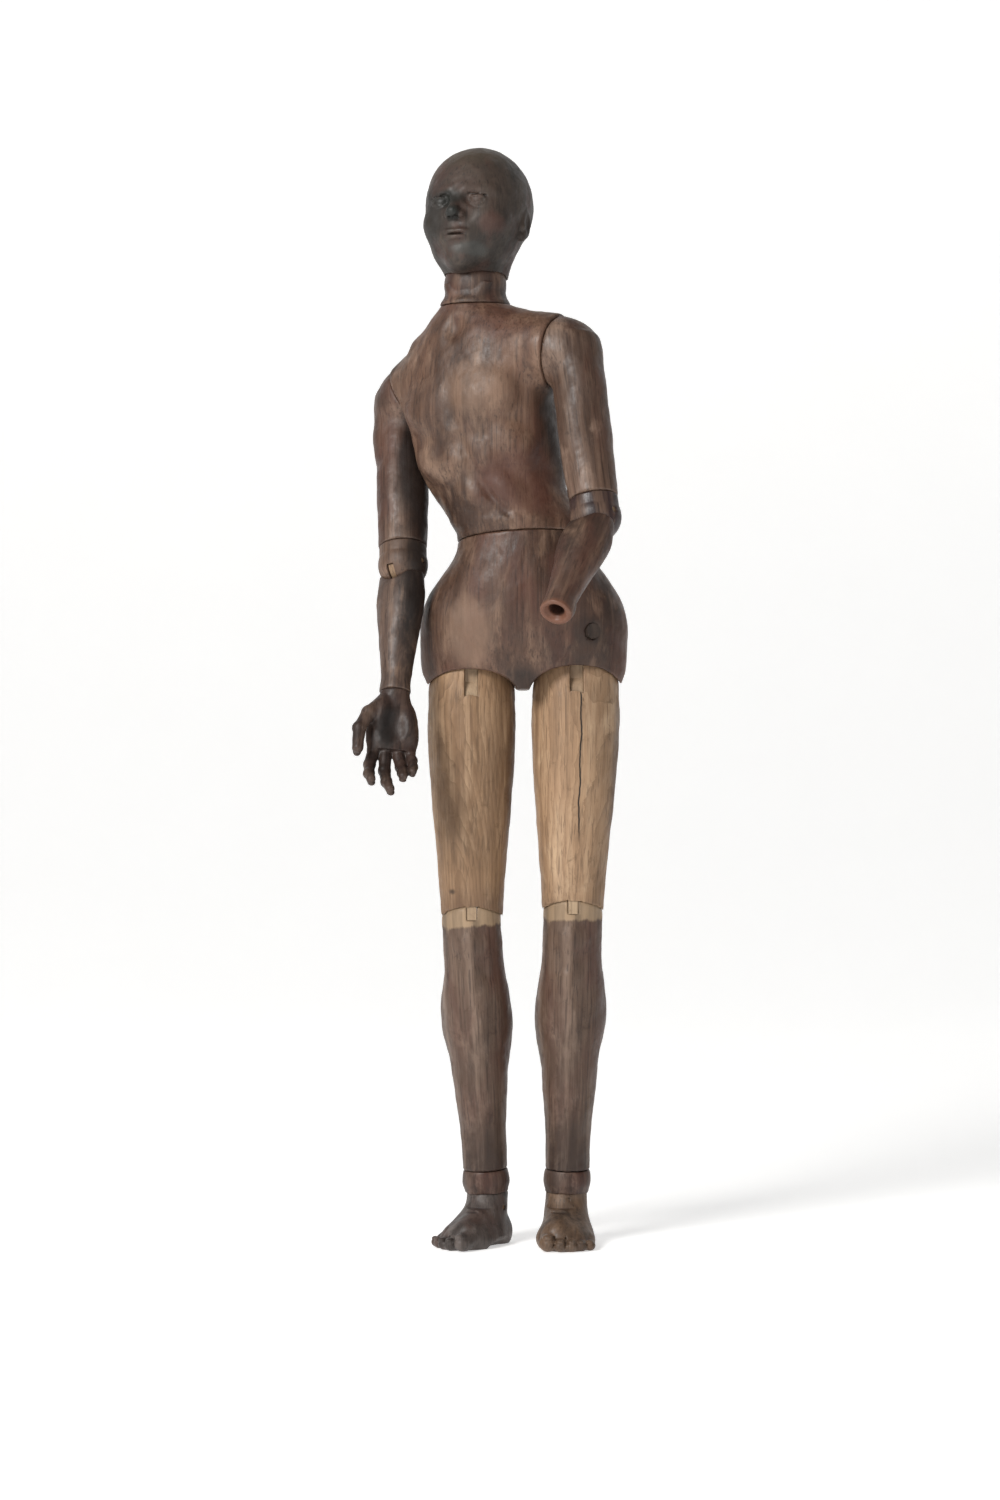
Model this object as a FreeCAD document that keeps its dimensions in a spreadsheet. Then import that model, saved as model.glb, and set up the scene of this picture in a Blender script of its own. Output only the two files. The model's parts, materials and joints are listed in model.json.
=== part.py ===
import FreeCAD, Part
import math
import os
import re
import Sketcher
from FreeCAD import Placement, Rotation, Vector

# An antique carved artist's lay figure, 0.88 m tall, standing.
# Millimetres. +Z is up, the figure faces -Y and its own left side is +X.
# The origin is on the floor under the middle of the figure's outline.
# Every joint follows one of two patterns:
#   swivel  a turned peg, fixed in one piece, turns in a bore of the other and is kept in
#           by a small lock pin that lies in the peg's groove;
#   hinge   a flat tongue, fixed in the hollow (cup) end of one piece, sits in a slot of the
#           rounded (dome) end of the other and swings on a cross pin through its cheeks.

doc = FreeCAD.newDocument("lay_figure")
sheet = doc.addObject("Spreadsheet::Sheet", "Sizes")

SIZES = {
    # Where the figure stands, and its joint centres.
    "stand_x": 24.4, "stand_y": 39.6,
    "waist_x": 0.0, "waist_y": 5.0, "waist_z": 565.0,
    "neck_x": -39.0, "neck_y": 11.0, "neck_base_z": 753.0, "nod_z": 770.0,
    "right_shoulder_x": -88.3, "right_shoulder_y": 42.0, "right_shoulder_z": 682.6,
    "left_shoulder_x": 26.3, "left_shoulder_y": -26.0, "left_shoulder_z": 712.5,
    "right_elbow_x": -96.7, "right_elbow_y": -1.0, "right_elbow_z": 544.6,
    "left_elbow_x": 55.5, "left_elbow_y": -72.0, "left_elbow_z": 578.2,
    "right_wrist_x": -101.9, "right_wrist_y": -42.0, "right_wrist_z": 441.7,
    "left_wrist_x": 22.5, "left_wrist_y": -143.0, "left_wrist_z": 500.6,
    "right_hip_x": -42.0, "left_hip_x": 41.6, "hip_y": 10.0,
    "right_hip_z": 432.0, "left_hip_z": 435.0,
    "right_knee_x": -41.7, "left_knee_x": 39.0, "knee_y": 12.0,
    "right_knee_z": 253.0, "left_knee_z": 258.0,
    "right_ankle_x": -29.3, "left_ankle_x": 34.4, "ankle_y": 18.0,
    "ankle_z": 30.0, "shin_end_z": 60.0,
    # Directions, in degrees.
    "head_yaw": 22.0, "chin_up": 6.0,
    "right_foot_yaw": 38.0, "left_foot_yaw": 2.0, "right_hand_yaw": 8.0,
    # Carved outlines: widest half-widths (x) and half-depths (y).
    "pelvis_half_width": 83.0, "pelvis_half_depth": 54.0, "pelvis_bottom_z": 445.0,
    "waist_half_width": 53.6, "waist_half_depth": 45.0,
    "chest_half_width": 62.0, "chest_half_depth": 48.0,
    "neck_radius": 24.4, "neck_foot_radius": 28.0,
    "skull_half_width": 41.5, "skull_half_depth": 49.0, "skull_half_height": 47.0,
    "arm_radius": 20.0, "forearm_half_width": 19.6, "wrist_radius": 12.0,
    "thigh_half_width": 35.2, "thigh_half_depth": 35.2,
    "shin_half_width": 28.0, "shin_half_depth": 30.0,
    "foot_length": 78.0, "foot_half_width": 26.0, "sole_thick": 11.0,
    "palm_length": 50.0, "palm_half_width": 19.0, "palm_half_thick": 8.5,
    # Swivels.
    "shoulder_disc_r": 29.0, "shoulder_cap_reach": 38.0, "shoulder_arm_offset": 15.0,
    "face_gap": 0.3, "run_gap": 0.05,
    "waist_peg_r": 9.0, "shoulder_peg_r": 6.5, "neck_peg_r": 8.0,
    "elbow_peg_r": 6.0, "ankle_peg_r": 6.0, "wrist_peg_r": 6.0,
    "groove_deep": 1.6, "lock_r": 1.5, "bore_spare": 0.5,
    # How far each peg reaches from its swivel plane, and where its groove is.
    "waist_peg_down": 32.0, "waist_peg_up": 34.0, "waist_groove": 24.0,
    "shoulder_peg_in": 34.0, "shoulder_peg_out": 31.5, "shoulder_groove": 24.0,
    "neck_peg_down": 34.0, "neck_groove": 24.0,
    "elbow_peg_up": 26.0, "elbow_groove": 19.0, "ankle_peg_up": 26.0, "ankle_groove": 18.0,
    "wrist_peg_up": 24.0, "wrist_peg_down": 21.5, "wrist_groove": 16.0,
    # The cone that an arm sweeps about its shoulder peg.
    "sweep_root_r": 26.0, "sweep_rim_r": 112.0, "sweep_high": 30.0,
    # Hinges: the dome's radius about its pin and half-length along it, the tongue's disc
    # radius, half-width and thickness, and the cross pin's radius.
    "hip_ball_r": 44.0, "hip_ball_half": 37.0, "hip_disc_r": 33.0, "hip_tongue_half": 27.0,
    "hip_tongue_thick": 10.0, "hip_pin_r": 4.0,
    "knee_ball_r": 30.0, "knee_ball_half": 25.3, "knee_disc_r": 20.0, "knee_tongue_front": 23.4,
    "knee_tongue_back": 14.0, "knee_tongue_thick": 7.5, "knee_ledge": 8.0, "knee_pin_r": 3.2,
    "ankle_ball_r": 20.0, "ankle_disc_r": 12.0, "ankle_tongue_front": 16.6,
    "ankle_tongue_back": 9.0, "ankle_ledge": 9.0,
    "ankle_tongue_thick": 5.6, "ankle_pin_r": 2.2,
    "elbow_ball_r": 20.0, "elbow_disc_r": 12.0, "elbow_tongue_front": 14.0,
    "elbow_tongue_back": 8.0, "elbow_ledge": 6.0,
    "elbow_tongue_thick": 5.6, "elbow_pin_r": 2.4, "elbow_collar_r": 19.0,
    "elbow_collar_high": 15.2,
    "nod_ball_r": 25.0, "nod_disc_r": 11.0, "nod_tongue_half": 8.0,
    "nod_tongue_thick": 6.0, "nod_pin_r": 2.4,
    "ball_gap": 0.4, "slot_gap": 0.3,
}

for row, (alias, value) in enumerate(SIZES.items(), start=1):
    sheet.set(f"A{row}", alias)
    sheet.set(f"B{row}", str(value))
    sheet.setAlias(f"B{row}", alias)
doc.recompute()

X, Y, Z = Vector(1, 0, 0), Vector(0, 1, 0), Vector(0, 0, 1)
HERE = Placement()
pieces = []
probe = doc.addObject("App::FeaturePython", "probe")
probe.addProperty("App::PropertyFloat", "Value")


# ---------------------------------------------------------------- helpers

def size(alias):
    return float(sheet.get(alias))


def formula(text):
    """Point each size name in an expression at the sheet."""
    return re.sub(r"[a-z]\w*", lambda found: "Sizes." + found.group(0), str(text))


def solid(kind, place=HERE, **sizes):
    """A Part primitive whose sizes are formulas of the sheet."""
    made = doc.addObject("Part::" + kind, kind.lower())
    for prop, text in sizes.items():
        made.setExpression(prop, formula(text))
    made.Placement = place
    return made


def at(x=0.0, y=0.0, z=0.0, turn=None):
    return Placement(Vector(x, y, z), turn or Rotation())


def frame(origin, z_dir, x_hint):
    """A right-handed frame with +Z along z_dir and +X as near x_hint as it can be."""
    z_axis = Vector(z_dir).normalize()
    x_axis = (x_hint - z_axis * x_hint.dot(z_axis)).normalize()
    return Placement(origin, Rotation(x_axis, z_axis.cross(x_axis), z_axis, "ZXY"))


def union(parts):
    if len(parts) == 1:
        return parts[0]
    made = doc.addObject("Part::MultiFuse", "union")
    made.Shapes = parts
    return made


def cut(base, tools):
    made = doc.addObject("Part::Cut", "cut")
    made.Base = base
    made.Tool = union(tools)
    return made


def common(first, second):
    made = doc.addObject("Part::Common", "common")
    made.Base = first
    made.Tool = second
    return made


def keep(made, name, place=HERE):
    """Name a finished sub-part and move it from its own frame to its place."""
    made.Label = name
    made.Placement = place.multiply(made.Placement)
    pieces.append(made)
    return made


def rod(place, radius, low, high):
    """A cylinder along the place's Z from low to high."""
    made = solid("Cylinder", Radius=radius, Height=f"({high}) - ({low})")
    made.Placement = place.multiply(at(z=number(low)))
    return made


def number(text):
    """The value of a formula of the sheet."""
    probe.setExpression("Value", formula(text))
    probe.recompute()
    return probe.Value


def ball(place, radius):
    return solid("Sphere", place, Radius=radius)


def dome(place, half, radius):
    """A ball about a hinge, drawn in along the hinge's own X, so it still turns in its cup."""
    return solid("Ellipsoid", place, Radius1=radius, Radius2=half, Radius3=radius)


def block(place, low, high):
    """A box between two corners, each coordinate a formula."""
    sides = [f"({b}) - ({a})" for a, b in zip(low, high)]
    made = solid("Box", Length=sides[0], Width=sides[1], Height=sides[2])
    made.Placement = place.multiply(at(*[number(a) for a in low]))
    return made


def half_space(place):
    """Everything on the +Z side of a place, as a large block."""
    return block(place, ("-400", "-400", "0"), ("400", "400", "400"))


def ellipsoid(x, y, z, half_x, half_y, half_z, turn=None):
    """An ellipsoid from its centre and half axes."""
    return solid("Ellipsoid", at(x, y, z, turn), Radius1=half_z, Radius2=half_x, Radius3=half_y)


def lofted(sections, wide="x"):
    """A loft through ellipses: (height, half_x, half_y, centre x, centre y, yaw, roll)."""
    rings = []
    for section in sections:
        height, half_x, half_y, middle_x, middle_y, yaw, roll = (list(section) + [0] * 7)[:7]
        ring = doc.addObject("Part::Ellipse", "ring")
        major, minor = (half_x, half_y) if wide == "x" else (half_y, half_x)
        ring.setExpression("MajorRadius", formula(major))
        ring.setExpression("MinorRadius", formula(minor))
        spin = Rotation(Z, yaw + (0 if wide == "x" else 90))
        ring.Placement = at(middle_x, middle_y, number(height), Rotation(Y, roll) * spin)
        rings.append(ring)
    made = doc.addObject("Part::Loft", "loft")
    made.Sections = rings
    made.Solid = True
    return made


def turned(outline):
    """A PartDesign body turned about Z from (radius, height) formulas; the first and
    last points lie on the axis."""
    body = doc.addObject("PartDesign::Body", "turned")
    sketch = body.newObject("Sketcher::SketchObject", "profile")
    plane = [f for f in body.Origin.OriginFeatures if f.Role == "XZ_Plane"][0]
    sketch.AttachmentSupport = [(plane, "")]
    sketch.MapMode = "FlatFace"
    points = [Vector(number(r), number(h), 0) for r, h in outline]
    count = len(points)
    for k in range(count):
        sketch.addGeometry(Part.LineSegment(points[k], points[(k + 1) % count]))
    for k in range(count):
        sketch.addConstraint(Sketcher.Constraint("Coincident", k, 2, (k + 1) % count, 1))
    for k, (radius, height) in enumerate(outline):
        for kind, text, axis in (("DistanceX", radius, -2), ("DistanceY", height, -1)):
            if text == "0":
                sketch.addConstraint(Sketcher.Constraint("PointOnObject", k, 1, axis))
                continue
            spot = sketch.addConstraint(Sketcher.Constraint(kind, -1, 1, k, 1, number(text)))
            sketch.setExpression(f"Constraints[{spot}]", formula(text))
    turn = body.newObject("PartDesign::Revolution", "turn")
    turn.Profile = sketch
    turn.ReferenceAxis = (sketch, ["V_Axis"])
    turn.Angle = 360
    return body


def grooved(radius, low, high, groove):
    """The outline of a round peg with a lock groove centred at the height groove."""
    core = f"{radius} - groove_deep"
    half = "(lock_r + 0.4)"
    return [
        ("0", low), (f"{radius} - 0.8", low), (radius, f"({low}) + 0.8"),
        (radius, f"{groove} - {half}"), (core, f"{groove} - {half}"),
        (core, f"{groove} + {half}"), (radius, f"{groove} + {half}"),
        (radius, f"({high}) - 0.8"), (f"{radius} - 0.8", high), ("0", high),
    ]


def lock_place(peg_place, radius, groove):
    """The lock pin's own frame: its Z runs across the peg, tangent to the groove's core."""
    side = number(f"{radius} - groove_deep + lock_r + 0.15")
    return peg_place.multiply(at(side, 0, number(groove), Rotation(X, -90)))


def tongue(thick, disc_r, pin_r, low_y, high_y, low_z, high_z):
    """A flat tongue: round about the pin, straight above it, with the pin's hole."""
    across = at(turn=Rotation(Y, 90))
    disc = rod(across, disc_r, f"-({thick}) / 2", f"({thick}) / 2")
    shank = block(HERE, (f"-({thick}) / 2", low_y, low_z), (f"({thick}) / 2", high_y, high_z))
    hole = rod(across, f"{pin_r} + run_gap", f"-({thick})", thick)
    return cut(union([disc, shank]), [hole])


def slot(hinge, thick, disc_r, low_y, high_y, low_z, reach, angles, mouth=None):
    """The room a tongue sweeps in a dome, at the given tongue angles about the pin. A mouth
    opens its -Y side, above low_z, to the dome's face."""
    wide = f"({thick}) / 2 + slot_gap"
    across = hinge.multiply(at(turn=Rotation(Y, 90)))
    rooms = [rod(across, f"{disc_r} + ball_gap", f"-({wide})", wide)]
    for angle in angles:
        swung = hinge.multiply(at(turn=Rotation(X, angle)))
        rooms.append(block(swung, (f"-({wide})", f"({low_y}) - 0.5", f"({low_z}) - 0.4"),
                           (wide, f"({high_y}) + 0.5", reach)))
    if mouth:
        rooms.append(block(hinge, (f"-({wide})", f"-({mouth})", f"({low_z}) - 0.4"),
                           (wide, low_y, reach)))
    return rooms


def mortise(hinge, thick, low_y, high_y, high_z):
    """The tight seat of a tongue's shank in a cup."""
    return block(hinge, (f"-({thick}) / 2", low_y, "0"), (f"({thick}) / 2", high_y, high_z))


def pin_hole(hinge, radius, half_long):
    return rod(hinge.multiply(at(turn=Rotation(Y, 90))), radius, f"-({half_long})", half_long)


def below_dome(loft, hinge, half, radius):
    """Round a limb's upper end to a dome about its hinge."""
    shaft = rod(hinge, "60", "-320", "0")
    return common(loft, union([dome(hinge, half, radius), shaft]))


def inside(place, world):
    """A world frame as seen from a piece's own frame."""
    return place.inverse().multiply(world)


def point(prefix):
    return Vector(size(prefix + "_x"), size(prefix + "_y"), size(prefix + "_z")) + stand


# ---------------------------------------------------------------- joint frames

stand = Vector(size("stand_x"), size("stand_y"), 0)
waist = point("waist")
waist_axis = Vector(-0.04, 0.13, 0.99).normalize()
waist_frame = frame(waist, waist_axis, X)

shoulder = {side: point(side + "_shoulder") for side in ("right", "left")}
torso_left = (shoulder["left"] - shoulder["right"]).normalize()
torso_up = ((shoulder["left"] + shoulder["right"]) * 0.5 - waist).normalize()
disc_slope = math.radians(20.0)
shoulder_axis = {
    "left": (torso_left * math.cos(disc_slope) - torso_up * math.sin(disc_slope)).normalize(),
    "right": (torso_left * -math.cos(disc_slope) - torso_up * math.sin(disc_slope)).normalize(),
}
# Each shoulder frame looks outwards along its peg.
shoulder_frame = {s: frame(shoulder[s], shoulder_axis[s], Vector(0, -1, 0)) for s in shoulder}
arm_top = {s: shoulder[s] + shoulder_axis[s] * size("shoulder_arm_offset") for s in shoulder}
elbow = {side: point(side + "_elbow") for side in ("right", "left")}
wrist = {side: point(side + "_wrist") for side in ("right", "left")}
upper_dir = {s: (arm_top[s] - elbow[s]).normalize() for s in elbow}
fore_dir = {s: (elbow[s] - wrist[s]).normalize() for s in elbow}
# The left elbow is bent in its hinge's plane; the straight right one follows the torso's turn.
elbow_axis = {
    "left": upper_dir["left"].cross(fore_dir["left"]).normalize() * -1,
    "right": frame(elbow["right"], upper_dir["right"], torso_left).Rotation.multVec(X),
}
if elbow_axis["left"].x < 0:
    elbow_axis["left"] = elbow_axis["left"] * -1
arm_frame = {s: frame(arm_top[s], upper_dir[s], elbow_axis[s]) for s in elbow}
knuckle_frame = {s: frame(elbow[s], upper_dir[s], elbow_axis[s]) for s in elbow}
forearm_frame = {s: frame(elbow[s], fore_dir[s], elbow_axis[s]) for s in elbow}
# The tongue's frame: X along the hinge, Z down the forearm, in the hinge's plane.
elbow_hinge = {
    s: frame(elbow[s], (fore_dir[s] - elbow_axis[s] * fore_dir[s].dot(elbow_axis[s])) * -1,
             elbow_axis[s]) for s in elbow
}

neck_frame = frame(Vector(size("neck_x"), size("neck_y"), size("neck_base_z")) + stand, Z, X)
nod = Vector(size("neck_x"), size("neck_y"), size("nod_z")) + stand
head_turn = Rotation(Z, -size("head_yaw"))
nod_frame = Placement(nod, head_turn)
head_frame = Placement(nod, head_turn * Rotation(X, -size("chin_up")))

hip = {s: Vector(size(s + "_hip_x"), size("hip_y"), size(s + "_hip_z")) + stand for s in elbow}
knee = {s: Vector(size(s + "_knee_x"), size("knee_y"), size(s + "_knee_z")) + stand for s in elbow}
ankle = {s: Vector(size(s + "_ankle_x"), size("ankle_y"), size("ankle_z")) + stand for s in elbow}
hip_frame = {s: frame(hip[s], Z, X) for s in hip}
knee_frame = {s: frame(knee[s], Z, X) for s in knee}
thigh_frame = {s: frame(hip[s], hip[s] - knee[s], X) for s in hip}
shin_dir = {s: (knee[s] - ankle[s]).normalize() for s in knee}
shin_frame = {s: frame(knee[s], shin_dir[s], X) for s in knee}
foot_turn = {s: Rotation(Z, -size(s + "_foot_yaw")) for s in knee}
foot_frame = {s: Placement(Vector(ankle[s].x, ankle[s].y, 0), foot_turn[s]) for s in ankle}
ankle_hinge = {s: Placement(ankle[s], foot_turn[s]) for s in ankle}
# The ankle knuckle turns about the shin's axis, on the plane at the shin's end.
shin_end_rise = size("shin_end_z") - size("ankle_z")
shin_end = {s: ankle[s] + shin_dir[s] * (shin_end_rise / shin_dir[s].z) for s in ankle}
ankle_swivel = {s: frame(shin_end[s], shin_dir[s], foot_turn[s].multVec(X)) for s in ankle}
wrist_frame = {s: frame(wrist[s], fore_dir[s], elbow_axis[s]) for s in wrist}
hand_frame = frame(wrist["right"], fore_dir["right"], Rotation(Z, size("right_hand_yaw")).multVec(X))


# ---------------------------------------------------------------- pelvis and waist

# Angles of the hip tongue in the thigh at the ends of its swing and between.
HIP_SWING = (24, 10, -4, -14)
HIP_TONGUE_TOP = "62"


def make_pelvis():
    rise = size("waist_z") - size("pelvis_bottom_z")
    stations = [
        (0.0, 0.93, 0.70, 2), (0.13, 0.985, 0.77, 3), (0.28, 1.0, 0.92, 4), (0.48, 0.99, 0.98, 3),
        (0.62, 0.925, 0.93, 2), (0.75, 0.80, 0.87, 1), (0.88, 0.675, 0.83, 0), (1.1, 0.635, 0.83, 0),
    ]
    loft = lofted([
        (f"{part * rise}", f"pelvis_half_width * {wide}", f"pelvis_half_depth * {deep}", 0, back)
        for part, wide, deep, back in stations
    ])
    place = at(waist.x, waist.y, size("pelvis_bottom_z"))
    tools = [half_space(inside(place, waist_frame))]
    tools.append(rod(inside(place, waist_frame), "waist_peg_r", "-waist_peg_down - bore_spare", "5"))
    for side in hip:
        tools.append(dome(inside(place, hip_frame[side]), "hip_ball_half + ball_gap",
                          "hip_ball_r + ball_gap"))
        tools.append(mortise(inside(place, hip_frame[side]), "hip_tongue_thick",
                             "-hip_tongue_half", "hip_tongue_half", HIP_TONGUE_TOP))
    tools.append(rod(inside(place, plug_frame), "6", "-16", "30"))
    keep(cut(loft, tools), "pelvis", place)


# The round plug that fills a knot hole at the front of the left hip.
plug_frame = frame(waist + Vector(55, -36.5, -74), Vector(0.5, -0.86, 0.1), X)


def make_waist_peg():
    outline = grooved("waist_peg_r", "-waist_peg_down", "waist_peg_up", "waist_groove")
    keep(turned(outline), "waist_peg", waist_frame)
    lock = lock_place(waist_frame, "waist_peg_r", "waist_groove")
    keep(rod(HERE, "lock_r", "-12", "40"), "waist_peg_lock", lock)


make_pelvis()
make_waist_peg()
keep(rod(HERE, "6", "-15.5", "0"), "pelvis_plug", plug_frame)

for side in hip:
    keep(tongue("hip_tongue_thick", "hip_disc_r", "hip_pin_r", "-hip_tongue_half",
                "hip_tongue_half", "0", HIP_TONGUE_TOP), f"{side}_hip_tongue", hip_frame[side])


# ---------------------------------------------------------------- torso

def make_torso():
    """One block carved with a lean to the figure's right and a turn of the chest."""
    place = at(waist.x, waist.y, waist.z)
    chest, deep = "chest_half_width", "chest_half_depth"
    loft = lofted([
        ("-14", "waist_half_width * 1.0", "waist_half_depth", 2, 0, 0, 0),
        ("2", "waist_half_width", "waist_half_depth", -1, 0, -2, 0),
        ("34", f"{chest} * 0.82", f"{deep} * 0.93", -16, 1, -14, -8),
        ("74", f"{chest} * 0.88", f"{deep} * 1.0", -29, 3, -24, -11),
        ("112", f"{chest} * 1.0", f"{deep} * 1.03", -36, 4, -30, -12),
        ("142", f"{chest} * 0.98", f"{deep} * 0.9", -38, 6, -30, -12),
        ("165", f"{chest} * 0.78", f"{deep} * 0.72", -39, 6, -30, -10),
        ("180", "36", "31", -39, 6, -30, -4),
        ("187.7", "neck_foot_radius + 0.1", "neck_foot_radius", -39, 6, -30, 0),
    ])
    stubs = []
    for side in shoulder:
        root = inside(place, shoulder_frame[side])
        cone = solid("Cone", root.multiply(at(z=-58)), Radius1="shoulder_disc_r + 4",
                     Radius2="shoulder_disc_r", Height="58")
        stubs.append(cone)
    tools = [half_space(inside(place, waist_frame.multiply(at(z=0.3, turn=Rotation(X, 180)))))]
    tools.append(rod(inside(place, waist_frame), "waist_peg_r + run_gap", "-5",
                     "waist_peg_up + bore_spare"))
    tools.append(rod(inside(place, lock_place(waist_frame, "waist_peg_r", "waist_groove")), "lock_r",
                     "-12", "70"))
    tools.append(half_space(inside(place, neck_frame.multiply(at(z=-0.3)))))
    tools.append(rod(inside(place, neck_frame), "neck_peg_r + run_gap",
                     "-neck_peg_down - bore_spare", "5"))
    tools.append(rod(inside(place, neck_lock), "lock_r", "-12", "60"))
    for side in shoulder:
        disc = inside(place, shoulder_frame[side])
        tools.append(block(disc, ("-34", "-45", "0"), ("34", "45", "70")))
        # The flank keeps clear of the cone that the arm sweeps about its peg.
        tools.append(solid("Cone", disc, Radius1="sweep_root_r", Radius2="sweep_rim_r",
                           Height="sweep_high"))
        tools.append(rod(disc, "shoulder_peg_r + run_gap", "-shoulder_peg_in - bore_spare", "5"))
        lock = lock_place(shoulder_frame[side], "shoulder_peg_r", "-shoulder_groove")
        tools.append(rod(inside(place, lock), "lock_r", "-9", "60"))
    keep(cut(union([loft] + stubs), tools), "torso", place)


neck_lock = lock_place(neck_frame, "neck_peg_r", "-neck_groove")
make_torso()
keep(rod(HERE, "lock_r", "-12", "24"), "neck_peg_lock", neck_lock)

shoulder_locks = doc.addObject("Part::Compound", "shoulder_locks")
shoulder_locks.Links = [
    rod(lock_place(shoulder_frame[side], "shoulder_peg_r", "-shoulder_groove"), "lock_r", "-9", "24")
    for side in shoulder
]
keep(shoulder_locks, "shoulder_peg_locks")


# ---------------------------------------------------------------- neck and head

def make_neck():
    """A turned column with its swivel peg below and its slotted ball above."""
    rise = size("nod_z") - size("neck_base_z")
    outline = grooved("neck_peg_r", "-neck_peg_down", "0", "(-neck_groove)")[:-2]
    outline += [("neck_peg_r", "0"), ("neck_foot_radius", "0"), ("neck_foot_radius", "2"),
                ("neck_radius + 0.6", "8"), ("neck_radius", "13"),
                ("neck_radius", f"{rise}"), ("0", f"{rise}")]
    nod_here = at(z=rise, turn=head_turn)
    head_ball = common(ball(at(z=rise), "nod_ball_r"), rod(HERE, "40", "1", "60"))
    blank = union([turned(outline), head_ball])
    below = union([rod(HERE, "70", "-40", f"{rise}"), ball(at(z=rise), "nod_ball_r")])
    rooms = slot(nod_here, "nod_tongue_thick", "nod_disc_r", "-nod_tongue_half",
                 "nod_tongue_half", "0", "60", (-14, 0, 14))
    hole = pin_hole(nod_here, "nod_pin_r", "40")
    keep(cut(common(blank, below), rooms + [hole]), "neck", neck_frame)


def make_head():
    """Skull, face, nose and ears as one carved block over the neck's ball."""
    lumps = [
        ellipsoid(0, 6, 66, "skull_half_width", "skull_half_depth", "skull_half_height"),
        ellipsoid(0, -14, 40, "30", "32", "36"),
        ellipsoid(0, -44, 48, "5.5", "10", "10"),
        ellipsoid(39, 4, 47, "3.5", "8", "14"),
        ellipsoid(-39, 4, 47, "3.5", "8", "14"),
        rod(at(0, 5, 0), "27", "0", "44"),
    ]
    hinge = inside(head_frame, nod_frame)
    tools = [
        ball(HERE, "nod_ball_r + ball_gap"),
        mortise(hinge, "nod_tongue_thick", "-nod_tongue_half", "nod_tongue_half", "46"),
        half_space(hinge.multiply(at(z=5, turn=Rotation(X, 180)))),
    ]
    keep(cut(union(lumps), tools), "head", head_frame)


make_neck()
make_head()
keep(tongue("nod_tongue_thick", "nod_disc_r", "nod_pin_r", "-nod_tongue_half",
            "nod_tongue_half", "0", "46"), "head_tongue", nod_frame)
keep(pin_hole(HERE, "nod_pin_r", "23.4"), "head_pin", nod_frame)


# ---------------------------------------------------------------- arms

ELBOW_BEND = {"right": 0.0, "left": 35.4}


def make_upper_arm(side):
    """A round arm under a half-ellipsoid shoulder cap that ends at the flat disc."""
    place = arm_frame[side]
    disc = inside(place, shoulder_frame[side].multiply(at(z=size("face_gap"))))
    reach = (arm_top[side] - elbow[side]).Length - size("elbow_collar_high") - size("face_gap")
    cap = solid("Ellipsoid", disc, Radius1="shoulder_cap_reach", Radius2="shoulder_disc_r",
                Radius3="shoulder_disc_r")
    arm = lofted([
        (f"{-reach * part}", f"arm_radius * {wide}", f"arm_radius * {deep}")
        for part, wide, deep in (
            (-0.04, 0.86, 0.92), (0.15, 0.99, 1.06), (0.4, 1.01, 1.06), (0.62, 1.03, 1.05),
            (0.85, 1.0, 1.01), (1.0, 0.97, 0.98))
    ], wide="y")
    peg_side = half_space(disc.multiply(at(turn=Rotation(X, 180))))
    tools = [peg_side, rod(disc, "shoulder_peg_r", "-5", "shoulder_peg_out + bore_spare")]
    top = inside(place, knuckle_frame[side].multiply(at(z=size("elbow_collar_high"))))
    tools.append(rod(top, "elbow_peg_r + run_gap", "-5", "elbow_peg_up + bore_spare"))
    lock = lock_place(knuckle_frame[side].multiply(at(z=size("elbow_collar_high"))),
                      "elbow_peg_r", "elbow_groove")
    tools.append(rod(inside(place, lock), "lock_r", "-9", "40"))
    keep(cut(union([cap, arm]), tools), f"{side}_upper_arm", place)
    keep(rod(HERE, "lock_r", "-9", "18"), f"{side}_elbow_peg_lock", lock)


def make_shoulder_peg(side):
    outline = grooved("shoulder_peg_r", "-shoulder_peg_in", "shoulder_peg_out", "(-shoulder_groove)")
    keep(turned(outline), f"{side}_shoulder_peg", shoulder_frame[side])


def make_elbow_knuckle(side):
    """Ball, collar and swivel peg turned in one piece, with the slot for the tongue."""
    place = knuckle_frame[side]
    high = "elbow_collar_high"
    peg = grooved("elbow_peg_r", high, f"{high} + elbow_peg_up", f"({high} + elbow_groove)")[3:]
    outline = [("0", "0"), ("elbow_collar_r", "0"), ("elbow_collar_r", high), ("elbow_peg_r", high)]
    bulb = common(ball(HERE, "elbow_ball_r"), rod(HERE, "40", "-30", "9"))
    blank = union([turned(outline + peg), bulb])
    # The forearm bends forwards, up to 60 degrees from straight.
    rest = place.Rotation.inverted() * elbow_hinge[side].Rotation
    hinge = Placement(Vector(), rest * Rotation(X, ELBOW_BEND[side]))
    rooms = slot(hinge, "elbow_tongue_thick", "elbow_disc_r", "-elbow_tongue_front",
                 "elbow_tongue_back", "elbow_ledge", "45", (2, -14, -30, -46, -62))
    hole = pin_hole(hinge, "elbow_pin_r", "30")
    keep(cut(blank, rooms + [hole]), f"{side}_elbow_knuckle", place)


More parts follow.
